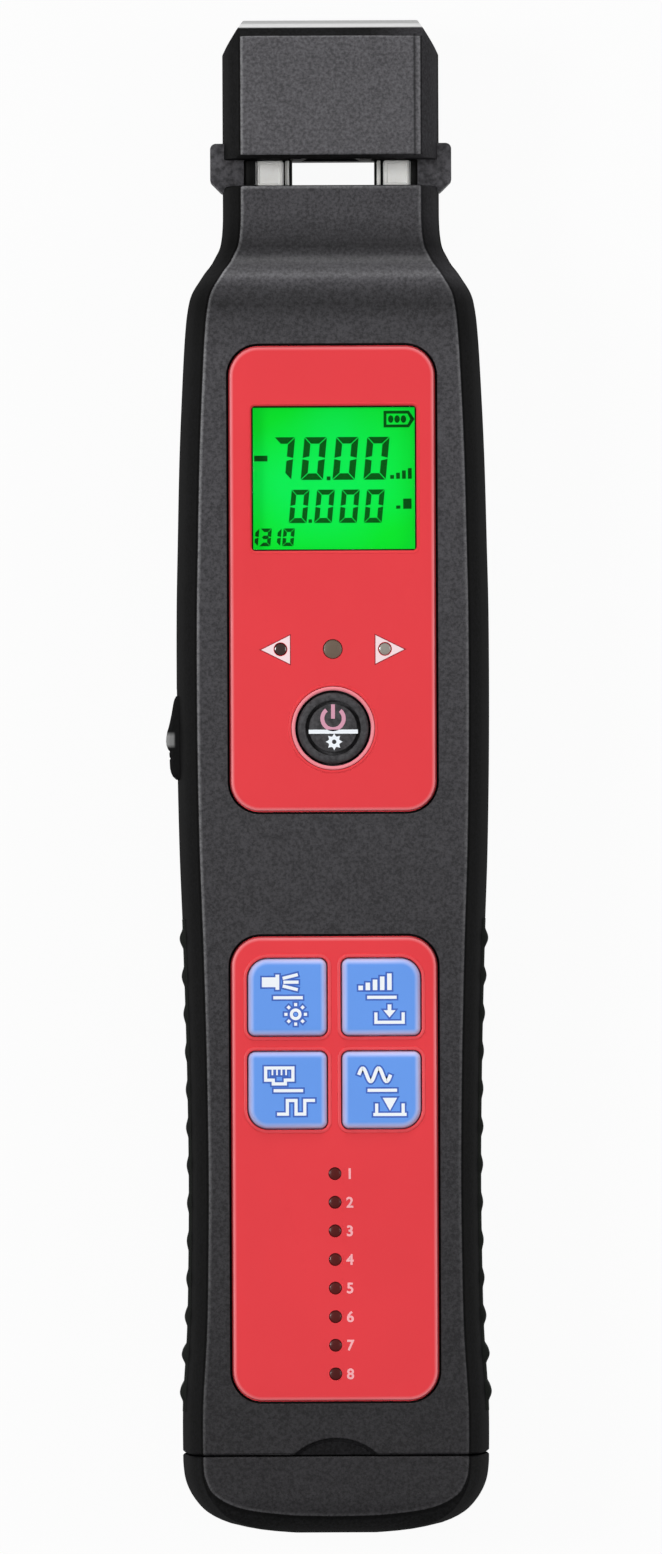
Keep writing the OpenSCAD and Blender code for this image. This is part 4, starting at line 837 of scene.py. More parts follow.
def mark_rim(ob, distance):
    """Stores on each point how far inside the front face's edge it lies, in mm."""
    att = ob.data.attributes.new("rim", "FLOAT", "POINT")
    att.data.foreach_set("value", [distance(*(c / MM for c in v.co)) for v in ob.data.vertices])


def body_rim(x, y, z):
    end = y - END_EDGE(abs(x))
    d = min(crease(half_w(y)) - abs(x), end if end < 0 else RIM_MAX, Y_NECK - NECK_EDGE - y)
    return -RIM_MAX if z < front_z(y) - EDGE - 0.05 else max(-RIM_MAX, min(d, RIM_MAX))


def cap_rim(x, y, z):
    x = abs(x)
    slope = (END_EDGE(x + 0.05) - END_EDGE(x - 0.05)) / 0.1
    d = min(crease(half_w(y)) - x, (y - END_EDGE(x)) / math.hypot(1, slope))
    return max(-1.2, min(d, 1.2, -1.2 if z < front_z(y) - EDGE - 0.05 else 1.2))


def seam_lip():
    """Thin lip inside the end of the front shell, which stands in the end cover and closes the seam."""
    steps = ((Y_CAP + 0.3, -0.3), (Y_CAP + 0.01, -0.3), (Y_CAP, SEAM_LIP_CLEAR),
             (Y_CAP - SEAM_LIP_OUT, SEAM_LIP_CLEAR))
    ob = loft("lip", [ring(hollow(y, gap), y) for y, gap in steps])
    cut(ob, space((Y_CAP + 1, Y_CAP - 2), SEAM_LIP_CLEAR + SEAM_LIP_T))
    return keep(ob, slab((Y_CAP - 2, Y_CAP + 2), (PART_Z + SEAM, FACE_Z)))


def front_shell():
    ob = keep(body_skin(Y_CAP, Y_NECK), slab((Y_END, Y_TOP), (PART_Z + SEAM, FACE_Z + 1)))
    cut(ob, body_hollow())
    join(ob, seam_lip())
    for s in (1, -1):
        for x, y in COLUMNS:
            join(ob, post(COLUMN_R, s * x, y, (PART_Z + SEAM, ROOF_Z + SEAT)))
            cut(ob, post(THREAD_R, s * x, y, (PART_Z - 1, PART_Z + 8)))
    for y in (UPPER_Y, LOWER_Y):
        cut(ob, prism("tool", plate_outline(y), [(RECESS_Z, PLATE_SLOT), (FACE_Z - 0.06, PLATE_SLOT),
                                                 (FACE_Z + 0.3, PLATE_SLOT + 0.36)]))
    cut(ob, box(wider(around(LCD_X, LCD_W), -SLIDE), wider(around(LCD_Y, LCD_LEN), -SLIDE),
                (ROOF_Z - 1, FACE_Z)))
    front_holes(ob, (ROOF_Z - 1, FACE_Z))
    side_cuts(ob)
    r = (NOTCH_W ** 2 / 4 + NOTCH_LEN ** 2) / (2 * NOTCH_LEN)
    notch_y, floor_z = Y_CAP + NOTCH_LEN - r, FACE_Z - NOTCH_D
    cut(ob, prism("tool", circle(0, notch_y, r, 128),
                  [(floor_z, -0.5), (floor_z + 0.4, 0), (FACE_Z - 0.1, 0), (FACE_Z + 0.4, 0.5)]))

    def rim(x, y, z):
        # The thumb notch gets a tone between face and side: painted shade
        in_notch = math.hypot(x, y - notch_y) < r + 0.1 and z < FACE_Z - 0.2
        return NOTCH_SHADE if in_notch else body_rim(x, y, z)
    mark_rim(ob, rim)
    finished(ob, "front_skin", "case", "shell_front", "shell", "front_shell")


def rod_block(s, y, top):
    return box(sides(s, ROD_X - 2, ROD_X + 2), y, (BACK_TOP, top))


def hinge_bar(r, xs):
    return along("X", r, HINGE_Y, HINGE_Z, xs)


def screw_sink(x, y, low, depth):
    """Room for a screw's head, with a flared mouth where the back's surface is at low."""
    return prism("tool", circle(x, y, SCREW_HEAD_R + SLIDE), [(low - 1, 1.2), (low + 0.2, 0), (depth, 0)])


def rear_shell():
    ob = keep(body_skin(Y_CAP, Y_NECK), slab((Y_END, Y_TOP), (-1, PART_Z - SEAM)))
    cut(ob, body_hollow())
    x = DOOR_W / 2 + DOOR_LIP_W + DOOR_GAP + WALL
    inner = box((-x, x), (Y_CAP, DOOR_Y[1] + WALL), (0, FRAME_TOP))
    join(inner, box((-x, x), (Y_CAP, SILL_Y[1]), (0, SILL_Z)))
    for s in (1, -1):
        join(inner, *[post(COLUMN_R, s * cx, cy, (0, PART_Z - SEAM)) for cx, cy in COLUMNS],
             rod_block(s, (TIE_Y[0] - 2, Y_NECK - WALL), TIE_Z + TIE_R + 0.6))
    join(ob, keep(inner, body_skin()))
    board_x, board_y = BOARD_SCREWS[0]
    for s in (1, -1):
        xs = sides(s, KNUCKLE_X + KNUCKLE_GAP, KNUCKLE_X + KNUCKLE_GAP + KNUCKLE_LEN)
        join(ob, post(2.0, s * board_x, board_y, (back_z(board_y) + WALL / 2, BOARD_Z)),
             hinge_bar(KNUCKLE_R, xs), box(xs, (HINGE_Y, Y_CAP + 1), (HINGE_Z - KNUCKLE_R, SILL_Z)))
    x, y = DOOR_W / 2 + DOOR_GAP, DOOR_Y[1] + DOOR_GAP
    cut(ob, prism("tool", rounded(0, (Y_END + y) / 2, 2 * x, y - Y_END, 1.2),
                  [(-0.6, 0.75), (0.15, 0), (DOOR_LIP_Z[0], 0)]),
        box(wider((-x, x), DOOR_LIP_W), (Y_END, y), wider(DOOR_LIP_Z, DOOR_GAP)))
    x = TUB_W / 2 + SEAT
    cut(ob, box((-x, x), wider(TUB_Y, SEAT), (-1, FRAME_TOP + 1)))
    side_cuts(ob)
    for s in (1, -1):
        cut(ob, along("Y", TIE_R + SEAT, s * ROD_X, TIE_Z, (TIE_Y[0], Y_NECK + 1)))
        for (cx, cy), depth in zip(COLUMNS, SCREW_DEPTH):
            cut(ob, post(SCREW_HOLE, s * cx, cy, (0, PART_Z + 1)), screw_sink(s * cx, cy, back_z(cy), depth))
        cut(ob, post(THREAD_R, s * board_x, board_y, (BOARD_Z - 6, BOARD_Z + 1)))
    cut(ob, along("Y", LEAD_R + SLIDE, -LEAD_X, LEAD_Z, (Y_NECK - NECK_WALL - 1, Y_NECK + 1)),
        hinge_bar(PIN_R + SEAT / 2, (-BODY_W, BODY_W)))
    finished(ob, "rear_skin", "case", "shell_back", "back", "rear_shell")


def end_cover():
    ob = body_skin(None, Y_CAP - CAP_GAP, CAP_YS, CAP_FACE)
    cut(ob, space([Y_CAP + 1] + [y for y in YS if Y_END + WALL < y < Y_CAP] + [Y_END + WALL]),
        slab((HINGE_Y, Y_CAP), (-1, HINGE_Z)))
    join(ob, hinge_bar(KNUCKLE_R, (-KNUCKLE_X, KNUCKLE_X)))
    for s in (1, -1):
        xs = sides(s, KNUCKLE_X, KNUCKLE_X + KNUCKLE_LEN + 2 * KNUCKLE_GAP)
        cut(ob, hinge_bar(KNUCKLE_R + KNUCKLE_GAP, xs),
            box(xs, (HINGE_Y - KNUCKLE_R - KNUCKLE_GAP, Y_CAP + 1), (-1, HINGE_Z)),
            box(xs, (HINGE_Y, Y_CAP + 1), (-1, SILL_Z + KNUCKLE_GAP)))
    cut(ob, hinge_bar(PIN_R + SEAT, (-BODY_W, BODY_W)))
    mark_rim(ob, cap_rim)
    finished(ob, "end_cap", "end_cover", "shell_front", "shell", "end_cover")


# Head
def head_shape():
    """Outer form of the head: the neck's section with two cut corners, and a sloped end."""
    x, end, face_end = NECK_W / 2, Y_TOP + HEAD_TIP, Y_TOP - 2.12
    ob = loft("head", [ring(section(Y_TOP, x), y) for y in (Y_SLOT, Y_SLOT + 1, Y_TOP - 3, Y_TOP + 0.3)])
    corner_x, corner_y = x - 2.8, Y_TOP - 4.1
    plan = [(-x, Y_SLOT), (x, Y_SLOT), (x, corner_y), (corner_x, end), (-corner_x, end), (-x, corner_y)]
    keep(ob, upright(plan, (-1, FACE_Z + 1)))
    side = [(Y_SLOT, -1), (Y_SLOT, HEAD_FRONT - 0.9), (Y_SLOT + 0.55, HEAD_FRONT),
            (Y_SLOT + 0.55, HEAD_FRONT + 1), (face_end, HEAD_FRONT + 1), (face_end, HEAD_FRONT),
            (Y_TOP - 0.8, HEAD_FRONT - 1.2), (end, HEAD_FRONT - 4.2), (end, BACK_TOP + 2),
            (Y_TOP - 2, BACK_TOP), (Y_TOP - 2, -1)]
    return keep(ob, loft("tool", [[(x, y, z) for y, z in side] for x in (-BODY_W, BODY_W)]))


def head_half(z):
    """Hollow shell of the head between two heights."""
    ob = keep(head_shape(), slab((Y_SLOT, Y_TOP + 1), z))
    bevel(ob, 0.16, 2, 25)
    w = NECK_W / 2
    return cut(ob, loft("tool", [ring(hollow(Y_TOP, 0, w), y) for y in (Y_SLOT + NECK_WALL, Y_TOP - 3.6)]))


def head_cuts(ob):
    x = NOSE_W / 2 + 0.45
    cut(ob, ear_room(1), ear_room(-1),
        box((-x, x), (Y_SLOT - 1, Y_SLOT + NECK_WALL + 1), wider(NOSE_Z, SEAT)))


def head_rim(x, y, z):
    return -3.0 if z < HEAD_FRONT - 0.2 else min(crease(NECK_W / 2) - abs(x), RIM_MAX)


def head_block():
    ob = head_half((HEAD_PART_Z + SEAM, FACE_Z))
    x, y = HEAD_SCREW
    for s in (1, -1):
        join(ob, post(2.2, s * x, y, (HEAD_PART_Z + SEAM, HEAD_FRONT - WALL)))
        cut(ob, post(THREAD_R, s * x, y, (HEAD_PART_Z - 1, HEAD_PART_Z + 7)))
    head_cuts(ob)
    mark_rim(ob, head_rim)
    finished(ob, "head_top", "case", "head_grey", "head", "head_block", angle=24)


def head_cover():
    ob = head_half((0, HEAD_PART_Z - SEAM))
    x, y = HEAD_SCREW
    inner = box((-1, 1), (Y_SLOT + 1, Y_SLOT + 2), (BACK_TOP, BACK_TOP + 1))
    for s in (1, -1):
        join(inner, post(2.6, s * x, y, (0, HEAD_PART_Z - SEAM)),
             rod_block(s, (Y_SLOT + WALL, TIE_Y[1] + 0.6), TIE_Z + 2))
    join(ob, keep(inner, head_shape()))
    head_cuts(ob)
    for s in (1, -1):
        cut(ob, along("Y", TIE_R + SEAT, s * ROD_X, TIE_Z, (Y_SLOT - 1, TIE_Y[1])),
            post(SCREW_HOLE, s * x, y, (0, HEAD_PART_Z + 1)), screw_sink(s * x, y, BACK_TOP, BACK_TOP + 2.4))
    cut(ob, along("Y", LEAD_R + SLIDE, -LEAD_X, LEAD_Z, (Y_SLOT - 1, Y_SLOT + NECK_WALL + 1)))
    finished(ob, "head_back", "case", "shell_back", "back", "head_cover", angle=24)


def ear(s, name):
    x0, x1, y0, y1, r = EAR_X, EARS_W / 2, EAR_Y[0], EAR_Y[1], 0.7
    pts = [(x0, y0), (x1 - 1.5, y0), (x1, y0 + 1.5), (x1, y1 - r)] + arc(x1 - r, y1 - r, r, (30, 60, 90))
    ob = upright([(s * x, y) for x, y in pts + [(x0, y1)]], EAR_Z)
    bevel(ob, 0.2, 2, 25)
    finished(ob, name + "_piece", "case", "head_grey", "ear", name, angle=25)


def slot_inside():
    """Guide posts and the pads on which the cable lies."""
    y, low = (Y_NECK + SEAT, Y_SLOT - SEAT), TIE_Z + 1.6
    posts = [bevel(box(x, y, (LEAD_Z + 0.7, 16.5)), 0.1) for x in ((-11.5, -9.96), (10.6, 11.5))]
    posts += [bevel(box(x, y, (low, 14.6)), 0.05, 1)
              for x in ((-6.3, -6.06), (-5.56, -5.12), (5.78, 6.1), (6.62, 6.98))]
    edge = [(low, 0), (15.7, 0), (15.9, -0.07), (16.0, -0.25), (16.0, -0.42), (15.82, -0.55)]
    pads = [prism("pad", rounded(sum(x) / 2, sum(y) / 2, x[1] - x[0], y[1] - y[0], 0.25, 4), edge)
            for x in ((-9.92, -6.34), (7.02, 10.56))]
    pads += [bevel(box(x, y, (low, 14.9)), 0.08) for x in ((-6.04, -5.52), (6.12, 6.6))]
    finished(merged(posts), "slot_posts", "case", "black_plastic", "black", "guide_posts")
    finished(merged(pads), "cable_pads", "case", "pad_pale", "pad", "fibre_pads", angle=40)


# Panels, keys and lamps
def lip(outline, near=0.24, far=0.74, height=0.13):
    """Low raised bead round an opening in a faceplate."""
    profile = ((near, -0.12), (near, height * 0.6), (near + 0.1, height), ((near + far) / 2, height * 1.1),
               (far - 0.12, height * 0.7), (far, -0.12))
    return loft("lip", [[(x, y, PLATE_TOP + h) for x, y in outline(o)] for o, h in profile], closed=True)


PLATE_EDGE = ((RECESS_Z, -PLATE_IN), (RECESS_Z + 0.35, -PLATE_IN), (RECESS_Z + 0.36, 0.06),
              (PLATE_TOP - 0.3, 0.06), (PLATE_TOP - 0.18, 0.09), (PLATE_TOP - 0.08, 0.16),
              (PLATE_TOP - 0.02, 0.3), (PLATE_TOP, 0.6))


def plate_rim(y, keys):
    """Distance of a faceplate's points from its rounded edge, which sets the painted highlight there. The
    beads round the keys count as an edge and get a faint one.
    """
    w, l = PLATE_W - 2 * PLATE_IN, y[1] - y[0] - 2 * PLATE_IN

    def at(px, py, pz):
        if pz < RECESS_Z + 0.355:
            return 3.0
        if pz > PLATE_TOP + 0.05 and keys:
            return 0.52
        return max(0.0, min(3.0, inside(px, py, 0, sum(y) / 2, w, l, [PLATE_R - PLATE_IN] * 4)))
    return at


def plate(name, y, node):
    ob = prism(name, plate_outline(y), [(z, -PLATE_IN - o) for z, o in PLATE_EDGE])
    lower = node == "lower_faceplate"
    if lower:
        join(ob, *[lip(key_outline(*key)) for key in KEYS])
    else:
        window = rounded(LCD_X, LCD_Y, LCD_W, LCD_LEN, LCD_R, 5)
        cut(ob, prism("tool", window, [(RECESS_Z - 1, 0), (PLATE_TOP - 0.18, 0), (PLATE_TOP + 0.3, 0.48)]))
        join(ob, lip(circle(0, POWER_Y, RIM_R, 96), 0.08, 0.5, 0.08), lip(window, 0.22, 0.5, 0.03))
    front_holes(ob, (RECESS_Z - 1, FACE_Z + 1), PLATE_TOP)
    mark_rim(ob, plate_rim(y, lower))
    finished(ob, name, "case", "faceplate_red", "red", node, angle=28)


def power_key():
    top, z = FACE_Z + 0.25, COLLAR_Z
    edge = tuple((POWER_R - r, d) for r, d in ((0, 0.42), (0.08, 0.24), (0.25, 0.09), (0.5, 0.02), (0.8, 0)))
    dome = ((2.6, 0.02), (1.4, 0), (0, 0))
    ob = lathe("power", [(0, z[0]), (RIM_R + COLLAR, z[0]), (RIM_R + COLLAR, z[1]), (POWER_R, z[1])]
               + [(r, top - d) for r, d in edge + POWER_GROOVE + dome], 0, POWER_Y, 96)
    join(ob, post(STEM_R, 0, POWER_Y, (STEM_Z, z[0] + 0.5)))
    finished(ob, "power_cap", "power_key", "power_black", "power", "power_key", angle=28)
    crown = ((0, 0.12), (0.06, 0.03), (0.16, 0), (0.3, 0), (0.4, 0.05), (RIM_W, 0.16))
    foot = (RIM_R - RIM_W, ROOF_Z)
    rim = lathe("rim", [foot, (RIM_R, ROOF_Z)] + [(RIM_R - d, FACE_Z - h) for d, h in crown] + [foot],
                0, POWER_Y, 96)
    # The ring's pale pink look is a painted highlight
    finished(rim, "power_ring", "case", "power_black", "power_ring_highlight", "power_key_rim", angle=40)
    level = top + MARK_LIFT
    cx, cy = 0.14, POWER_Y - 1.8
    sun = [circle(cx, cy, (1.12, 0.84, 0.74, 0.84)[k % 4], 32)()[k] for k in range(32)]
    marks = [bar(0.03, POWER_Y - 0.46, 6.5, 0.54, level), band_sheet(sun, circle(cx, cy, 0.3, 32)(), level)]
    finished(merged(marks), "power_marks", "power_key", "power_black", "white")
    cy, turn = POWER_Y + 1.28, range(128, 413, 5)
    power = [strip_sheet(arc(0, cy, 1.68, turn), arc(0, cy, 1.15, turn), level),
             bar(0, cy + 0.92, 0.52, 1.9, level)]
    finished(merged(power), "power_symbol", "power_key", "power_black", "pink")


def sheet(pts, z):
    """Print or inlay: a flat shape whose top is at z."""
    if sum(a[0] * b[1] - b[0] * a[1] for a, b in zip(pts, pts[1:] + pts[:1])) < 0:
        pts = list(reversed(pts))
    return upright(pts, (z - PRINT, z))


def band_sheet(outer, inner, z):
    """Flat ring between two outlines with as many points each."""
    return strip_sheet(outer + outer[:1], inner + inner[:1], z, True)


def strip_sheet(a, b, z, closed=False):
    """Flat strip between two rows of points."""
    n = len(a)
    m = n - 1 if closed else n
    verts = [(x, y, h) for h in (z - PRINT, z) for row in (a[:m], b[:m]) for x, y in row]
    faces = []
    for k in range(n - 1):
        i, j = k, (k + 1) % m
        faces += [(2 * m + i, 2 * m + j, 3 * m + j, 3 * m + i), (i, m + i, m + j, j),
                  (i, j, 2 * m + j, 2 * m + i), (m + i, 3 * m + i, 3 * m + j, m + j)]
    if not closed:
        faces += [(0, 2 * m, 3 * m, m), (m - 1, 2 * m - 1, 4 * m - 1, 3 * m - 1)]
    return outward(make("print", verts, faces))


def blue_key(i, j):
    node = KEYS[i, j]
    edge = ((1.1, 0.06), (0.45, -0.12), (0.24, -0.24), (0.1, -0.4), (0.03, -0.58), (0, -0.8), (-0.01, -1.1))
    collar = [(COLLAR_Z[0], COLLAR), (COLLAR_Z[1], COLLAR), (COLLAR_Z[1] + 0.01, 0.06)]
    ob = prism(node, key_outline(i, j), collar + [(KEY_TOP - d, o) for d, o in edge])
    join(ob, post(STEM_R, KEY_XS[i], KEY_YS[j], (STEM_Z, COLLAR_Z[0] + 0.5)))
    place = (KEY_XS[i], KEY_YS[j], KEY_W, KEY_LEN, key_radii(i, j))
    # The distance from the edge sets the painted highlight on the key's rounded edge
    mark_rim(ob, lambda px, py, pz: max(0.0, inside(px, py, *place)))
    finished(ob, node + "_cap", node, "key_blue", "blue", node, angle=28)


def lens(x, y, r, base_z):
    """Lamp: square foot, round stem and domed lens."""
    top = PLATE_TOP - SEAT
    ob = lathe("lens", [(0, base_z), (r, base_z), (r, top - 0.16), (r * 0.95, top - 0.08),
                        (r * 0.8, top - 0.03), (r * 0.4, top), (0, top + 0.01)], x, y, 32)
    return join(ob, bevel(box(around(x, LAMP_FOOT), around(y, LAMP_FOOT), (base_z, base_z + 1)), 0.15))


def lamps():
    for s, side, look in ((-1, "left", "lamp"), (1, "right", "lamp_pale")):
        finished(lens(s * DIRECTION_X, DIRECTION_Y, DIRECTION_R, UPPER_LAMP_Z), "direction_lens_" + side,
                 "case", "lamp_lens", look, "direction_lamps")
    finished(lens(0, DIRECTION_Y, SIGNAL_R, UPPER_LAMP_Z), "signal_lens", "case", "lamp_lens", "lamp_grey",
             "signal_lamp")
    finished(merged([lens(0, y, LAMP_R, MAP_LAMP_Z) for y in LAMP_YS]), "map_lenses", "case", "lamp_lens",
             "lamp_red", "wire_map_lamps")


def plate_marks():
    z = PLATE_TOP + PLATE_MARK_LIFT
    mid = DIRECTION_Y - 0.06
    for name, grow, level, look in (("direction_marks", 0, z, "pale_print"),
                                    ("direction_edges", 0.13, z - 0.01, "red_dark")):
        marks = []
        for s in (-1, 1):
            base, apex, half = s * (5.66 - grow), s * (9.44 + 2.2 * grow), 1.88 + 1.6 * grow
            tri = sheet([(apex, mid), (base, mid - half), (base, mid + half)], level)
            marks.append(cut(tri, post(DIRECTION_R + 0.12, s * DIRECTION_X, DIRECTION_Y, (z - 1, z + 1))))
        finished(merged(marks), name, "case", "faceplate_red", look)
    rows = [numeral(str(k + 1), 1.95, y, 1.36, z) for k, y in enumerate(LAMP_YS)]
    finished(merged(rows), "lamp_numbers", "case", "faceplate_red", "number")


def numeral(text, x, y, height, z):
    """A plain number from Blender's own font, as a thin inlay."""
    cu = bpy.data.curves.new("number", "FONT")
    cu.body = text
    cu.align_x = "CENTER"
    cu.size = height / 0.7 * MM
    cu.extrude = PRINT / 2 * MM
    cu.offset = 0.05 * MM
    tmp = bpy.data.objects.new("number", cu)
    scene.collection.objects.link(tmp)
    dg = bpy.context.evaluated_depsgraph_get()
    me = bpy.data.meshes.new_from_object(tmp.evaluated_get(dg))
    bpy.data.objects.remove(tmp)
    bpy.data.curves.remove(cu)
    ob = bpy.data.objects.new("number", me)
    scene.collection.objects.link(ob)
    mid = (min(v.co.y for v in me.vertices) + max(v.co.y for v in me.vertices)) / 2
    for v in me.vertices:
        v.co += Vector((x * MM, y * MM - mid, (z - PRINT / 2) * MM))
    return ob


# Display: rows of figures as y, height, stroke and each figure's x and width; other marks as bars
DIGIT_Z = 26.53
SEGMENTS = {"0": "abcdef", "1": "bc", "3": "abcdg", "7": "abc"}
FIGURES = (
    (39.3, 5.65, 0.86, (("7", -8.15, 2.75), ("0", -4.15, 2.95), ("0", 0.05, 2.95), ("0", 4.15, 2.95))),
    (33.6, 4.4, 0.66, (("0", -5.75, 2.35), ("0", -2.4, 2.35), ("0", 0.9, 2.35), ("0", 4.2, 2.35))),
    (30.55, 2.35, 0.48, (("1", -11.35, 1.5), ("3", -9.7, 1.5), ("1", -8.4, 1.5), ("0", -6.65, 1.5))),
)
LCD_BARS = ((-9.4, 42.15, 1.75, 0.75), (-0.45, 39.5, 0.5, 0.5), (-2.9, 33.85, 0.46, 0.46),
            (9.95, 36.1, 1.1, 1.35), (8.75, 35.65, 0.55, 0.42))
BATTERY_X, BATTERY_Y, BATTERY_LINE = (6.85, 10.2), (46.2, 48.4), 0.38
DIGIT_LEAN = 0.096


def digit(char, x, y, w, h, t):
    """Seven-segment digit whose lower left corner is at x, y."""
    g, e, m = t * 0.09, t / 2, h / 2
    top = [(g, h), (w - g, h), (w - g - t, h - t), (g + t, h - t)]
    side = [(0, h - g), (t, h - g - t), (t, m + g + e * 0.5), (0, m + g)]
    middle = [(g + e, m), (g + t, m + e), (w - g - t, m + e), (w - g - e, m), (w - g - t, m - e),
              (g + t, m - e)]
    turned = {"a": (top, 1, 1), "b": (side, -1, 1), "c": (side, -1, -1), "d": (top, 1, -1),
              "e": (side, 1, -1), "f": (side, 1, 1), "g": (middle, 1, 1)}
    out = []
    for s in SEGMENTS[char]:
        pts, fx, fy = turned[s]
        pts = [(px if fx > 0 else w - px, py if fy > 0 else h - py) for px, py in pts]
        out.append(sheet([(x + px + DIGIT_LEAN * py, y + py) for px, py in pts], DIGIT_Z))
    return out


def display():
    z, (x0, x1), (y0, y1), t = DIGIT_Z, BATTERY_X, BATTERY_Y, BATTERY_LINE
    mid = (y0 + y1) / 2
    parts = [bar(*place, z) for place in LCD_BARS]
    for y, h, stroke_w, row in FIGURES:
        for char, x, w in row:
            parts += digit(char, x, y, w, h, stroke_w)
    outer = [(x0, y0), (x1, y0), (x1 + 0.75, mid), (x1, y1), (x0, y1)]
    inner = [(x0 + t, y0 + t), (x1 - 0.18, y0 + t), (x1 + 0.18, mid), (x1 - 0.18, y1 - t), (x0 + t, y1 - t)]
    parts.append(band_sheet(outer, inner, z))
    for k in range(3):
        cx = x0 + 0.95 + 0.84 * k
        parts.append(sheet([(cx + 0.36 * math.cos(a * math.pi / 8), mid + 0.5 * math.sin(a * math.pi / 8))
                            for a in range(16)], z))
    parts += [bar(7.95 + 0.78 * k, 39.4 + h / 2, 0.5, h, z) for k, h in enumerate((0.5, 0.8, 1.1, 1.4))]
    finished(merged(parts), "lcd_digits", "case", "lcd_green", "digit")
    pane = box(wider(around(LCD_X, LCD_W), -SEAT), wider(around(LCD_Y, LCD_LEN), -SEAT),
               (RECESS_Z, PLATE_TOP - 0.1))
    finished(bevel(pane, 0.25, 3), "lcd_pane", "case", "lcd_clear", "pane", "lcd_window")


# Key symbols
LINE = 0.42


def bar(cx, cy, w, h, z):
    return sheet([(cx + a * w / 2, cy + b * h / 2) for a, b in ((-1, -1), (1, -1), (1, 1), (-1, 1))], z)


def stroke(pts, w, z, grow=0.0):
    """Flat line of width w through the points. It grows on all sides, its ends too."""
    p = [Vector(q) for q in pts]
    p[0] = p[0] + (p[0] - p[1]).normalized() * grow
    p[-1] = p[-1] + (p[-1] - p[-2]).normalized() * grow
    left, right = [], []
    for k, q in enumerate(p):
        d = (p[min(k + 1, len(p) - 1)] - p[max(k - 1, 0)]).normalized()
        out = Vector((-d.y, d.x)) * (w / 2 + grow)
        left.append(tuple(q + out))
        right.append(tuple(q - out))
    return strip_sheet(left, right, z)


def key_sign(i, j, z, grow):
    """Plain signs for a key: a beam and a lamp, level bars and a store tray, a socket and a square wave,
    a wave and a datum mark."""
    x, y = KEY_XS[i], KEY_YS[j]
    ux, uy, lx, ly = x - 0.9, y + 2.0, x + 1.1, y - 2.25
    parts = []

    def bars(cx, cy, *places):
        for dx, dy, w, h in places:
            parts.append(bar(cx + dx, cy + dy, w + 2 * grow, h + 2 * grow, z))

    def line(pts, w=LINE):
        parts.append(stroke(pts, w, z, grow))

    def dart(cx, cy, w, h):
        g = grow * 1.7
        parts.append(sheet([(cx - w / 2 - g, cy + h / 2 + grow), (cx + w / 2 + g, cy + h / 2 + grow),
                            (cx, cy - h / 2 - g)], z))
    bars(x, y, (0.1, -0.05, 3.9, LINE))
    if (i, j) == (0, 0):
        bars(ux, uy, (-1.5, 0, 1.9, 1.3), (-0.4, 0, 0.5, 2.0), (1.4, 0, 2.0, LINE))
        for s in (1, -1):
            line([(ux + 0.3, uy + s * 0.5), (ux + 2.3, uy + s * 1.0)])
        parts.append(band_sheet(circle(lx, ly, 0.78 + grow, 24)(), circle(lx, ly, 0.36 - grow / 2, 24)(), z))
        for k in range(8):
            c, s = math.cos(math.pi / 4 * k), math.sin(math.pi / 4 * k)
            line([(lx + 1.08 * c, ly + 1.08 * s), (lx + 1.5 * c, ly + 1.5 * s)], 0.4)
    elif (i, j) == (1, 0):
        heights = (0.6, 1.0, 1.4, 1.8, 2.2)
        bars(ux, uy, *[(-1.8 + 0.95 * k, -1.1 + h / 2, 0.6, h) for k, h in enumerate(heights)])
        bars(lx, ly, (0, 0.8, 0.5, 0.9), (-1.8, -0.45, LINE, 1.3), (1.8, -0.45, LINE, 1.3),
             (0, -1.1, 4.02, LINE))
        dart(lx, ly + 0.02, 1.6, 0.95)
    elif (i, j) == (0, 1):
        bars(ux - 0.2, uy, (0, 0.95, 4.0, LINE), (0, -1.15, 2.0, LINE))
        for s in (1, -1):
            bars(ux - 0.2, uy, (s * 1.8, 0.2, LINE, 1.9), (s * 1.4, -0.65, 1.2, LINE),
                 (s * 0.8, -0.9, LINE, 0.9))
        bars(ux, uy, *[(-1.1 + 0.6 * k, 0.4, 0.22, 0.8) for k in range(4)])
        steps = ((-2, -1), (-1, -1), (-1, 1), (0, 1), (0, -1), (1, -1), (1, 1), (2, 1))
        wave = [(1.15 * a, 0.9 * b) for a, b in steps]
        bars(lx, ly, *[((ax + bx) / 2, (ay + by) / 2, abs(ax - bx) + LINE, abs(ay - by) + LINE)
                       for (ax, ay), (bx, by) in zip(wave, wave[1:])])
    else:
        line([(ux - 2.1 + 4.2 * k / 36, uy + 0.9 * math.sin(k * math.pi / 9)) for k in range(37)], 0.46)
        bars(lx, ly, (0, -1.0, 4.4, LINE), (-1.75, -0.2, LINE, 1.3), (1.75, -0.2, LINE, 1.3))
        dart(lx, ly + 0.35, 1.9, 1.7)
    return join(*parts)


def key_marks():
    for (i, j), node in KEYS.items():
        sign, edge = key_sign(i, j, KEY_TOP + MARK_LIFT, 0.0), key_sign(i, j, KEY_TOP + MARK_LIFT / 2, 0.22)
        finished(sign, node + "_marks", node, "key_blue", "white")
        finished(edge, node + "_marks_edge", node, "key_blue", "halo")


# Grips, slider, door and screws
def swell(y):
    """How far the nearest ridge of a grip stands out at y."""
    i = min(max(round((RIDGE_Y0 - y) / RIDGE_PITCH), 0), len(RIDGES) - 1)
    d = abs(y - (RIDGE_Y0 - i * RIDGE_PITCH)) / 1.35
    return RIDGES[i] * math.cos(min(d, 1.0) * math.pi / 2) ** 1.3


def soft_edges(z, near):
    """Levels of a solid between two heights. Near gives the offset of its outline at distances from each."""
    return [(z[0] + d, o) for d, o in near] + [(z[1] - d, o) for d, o in reversed(near)]


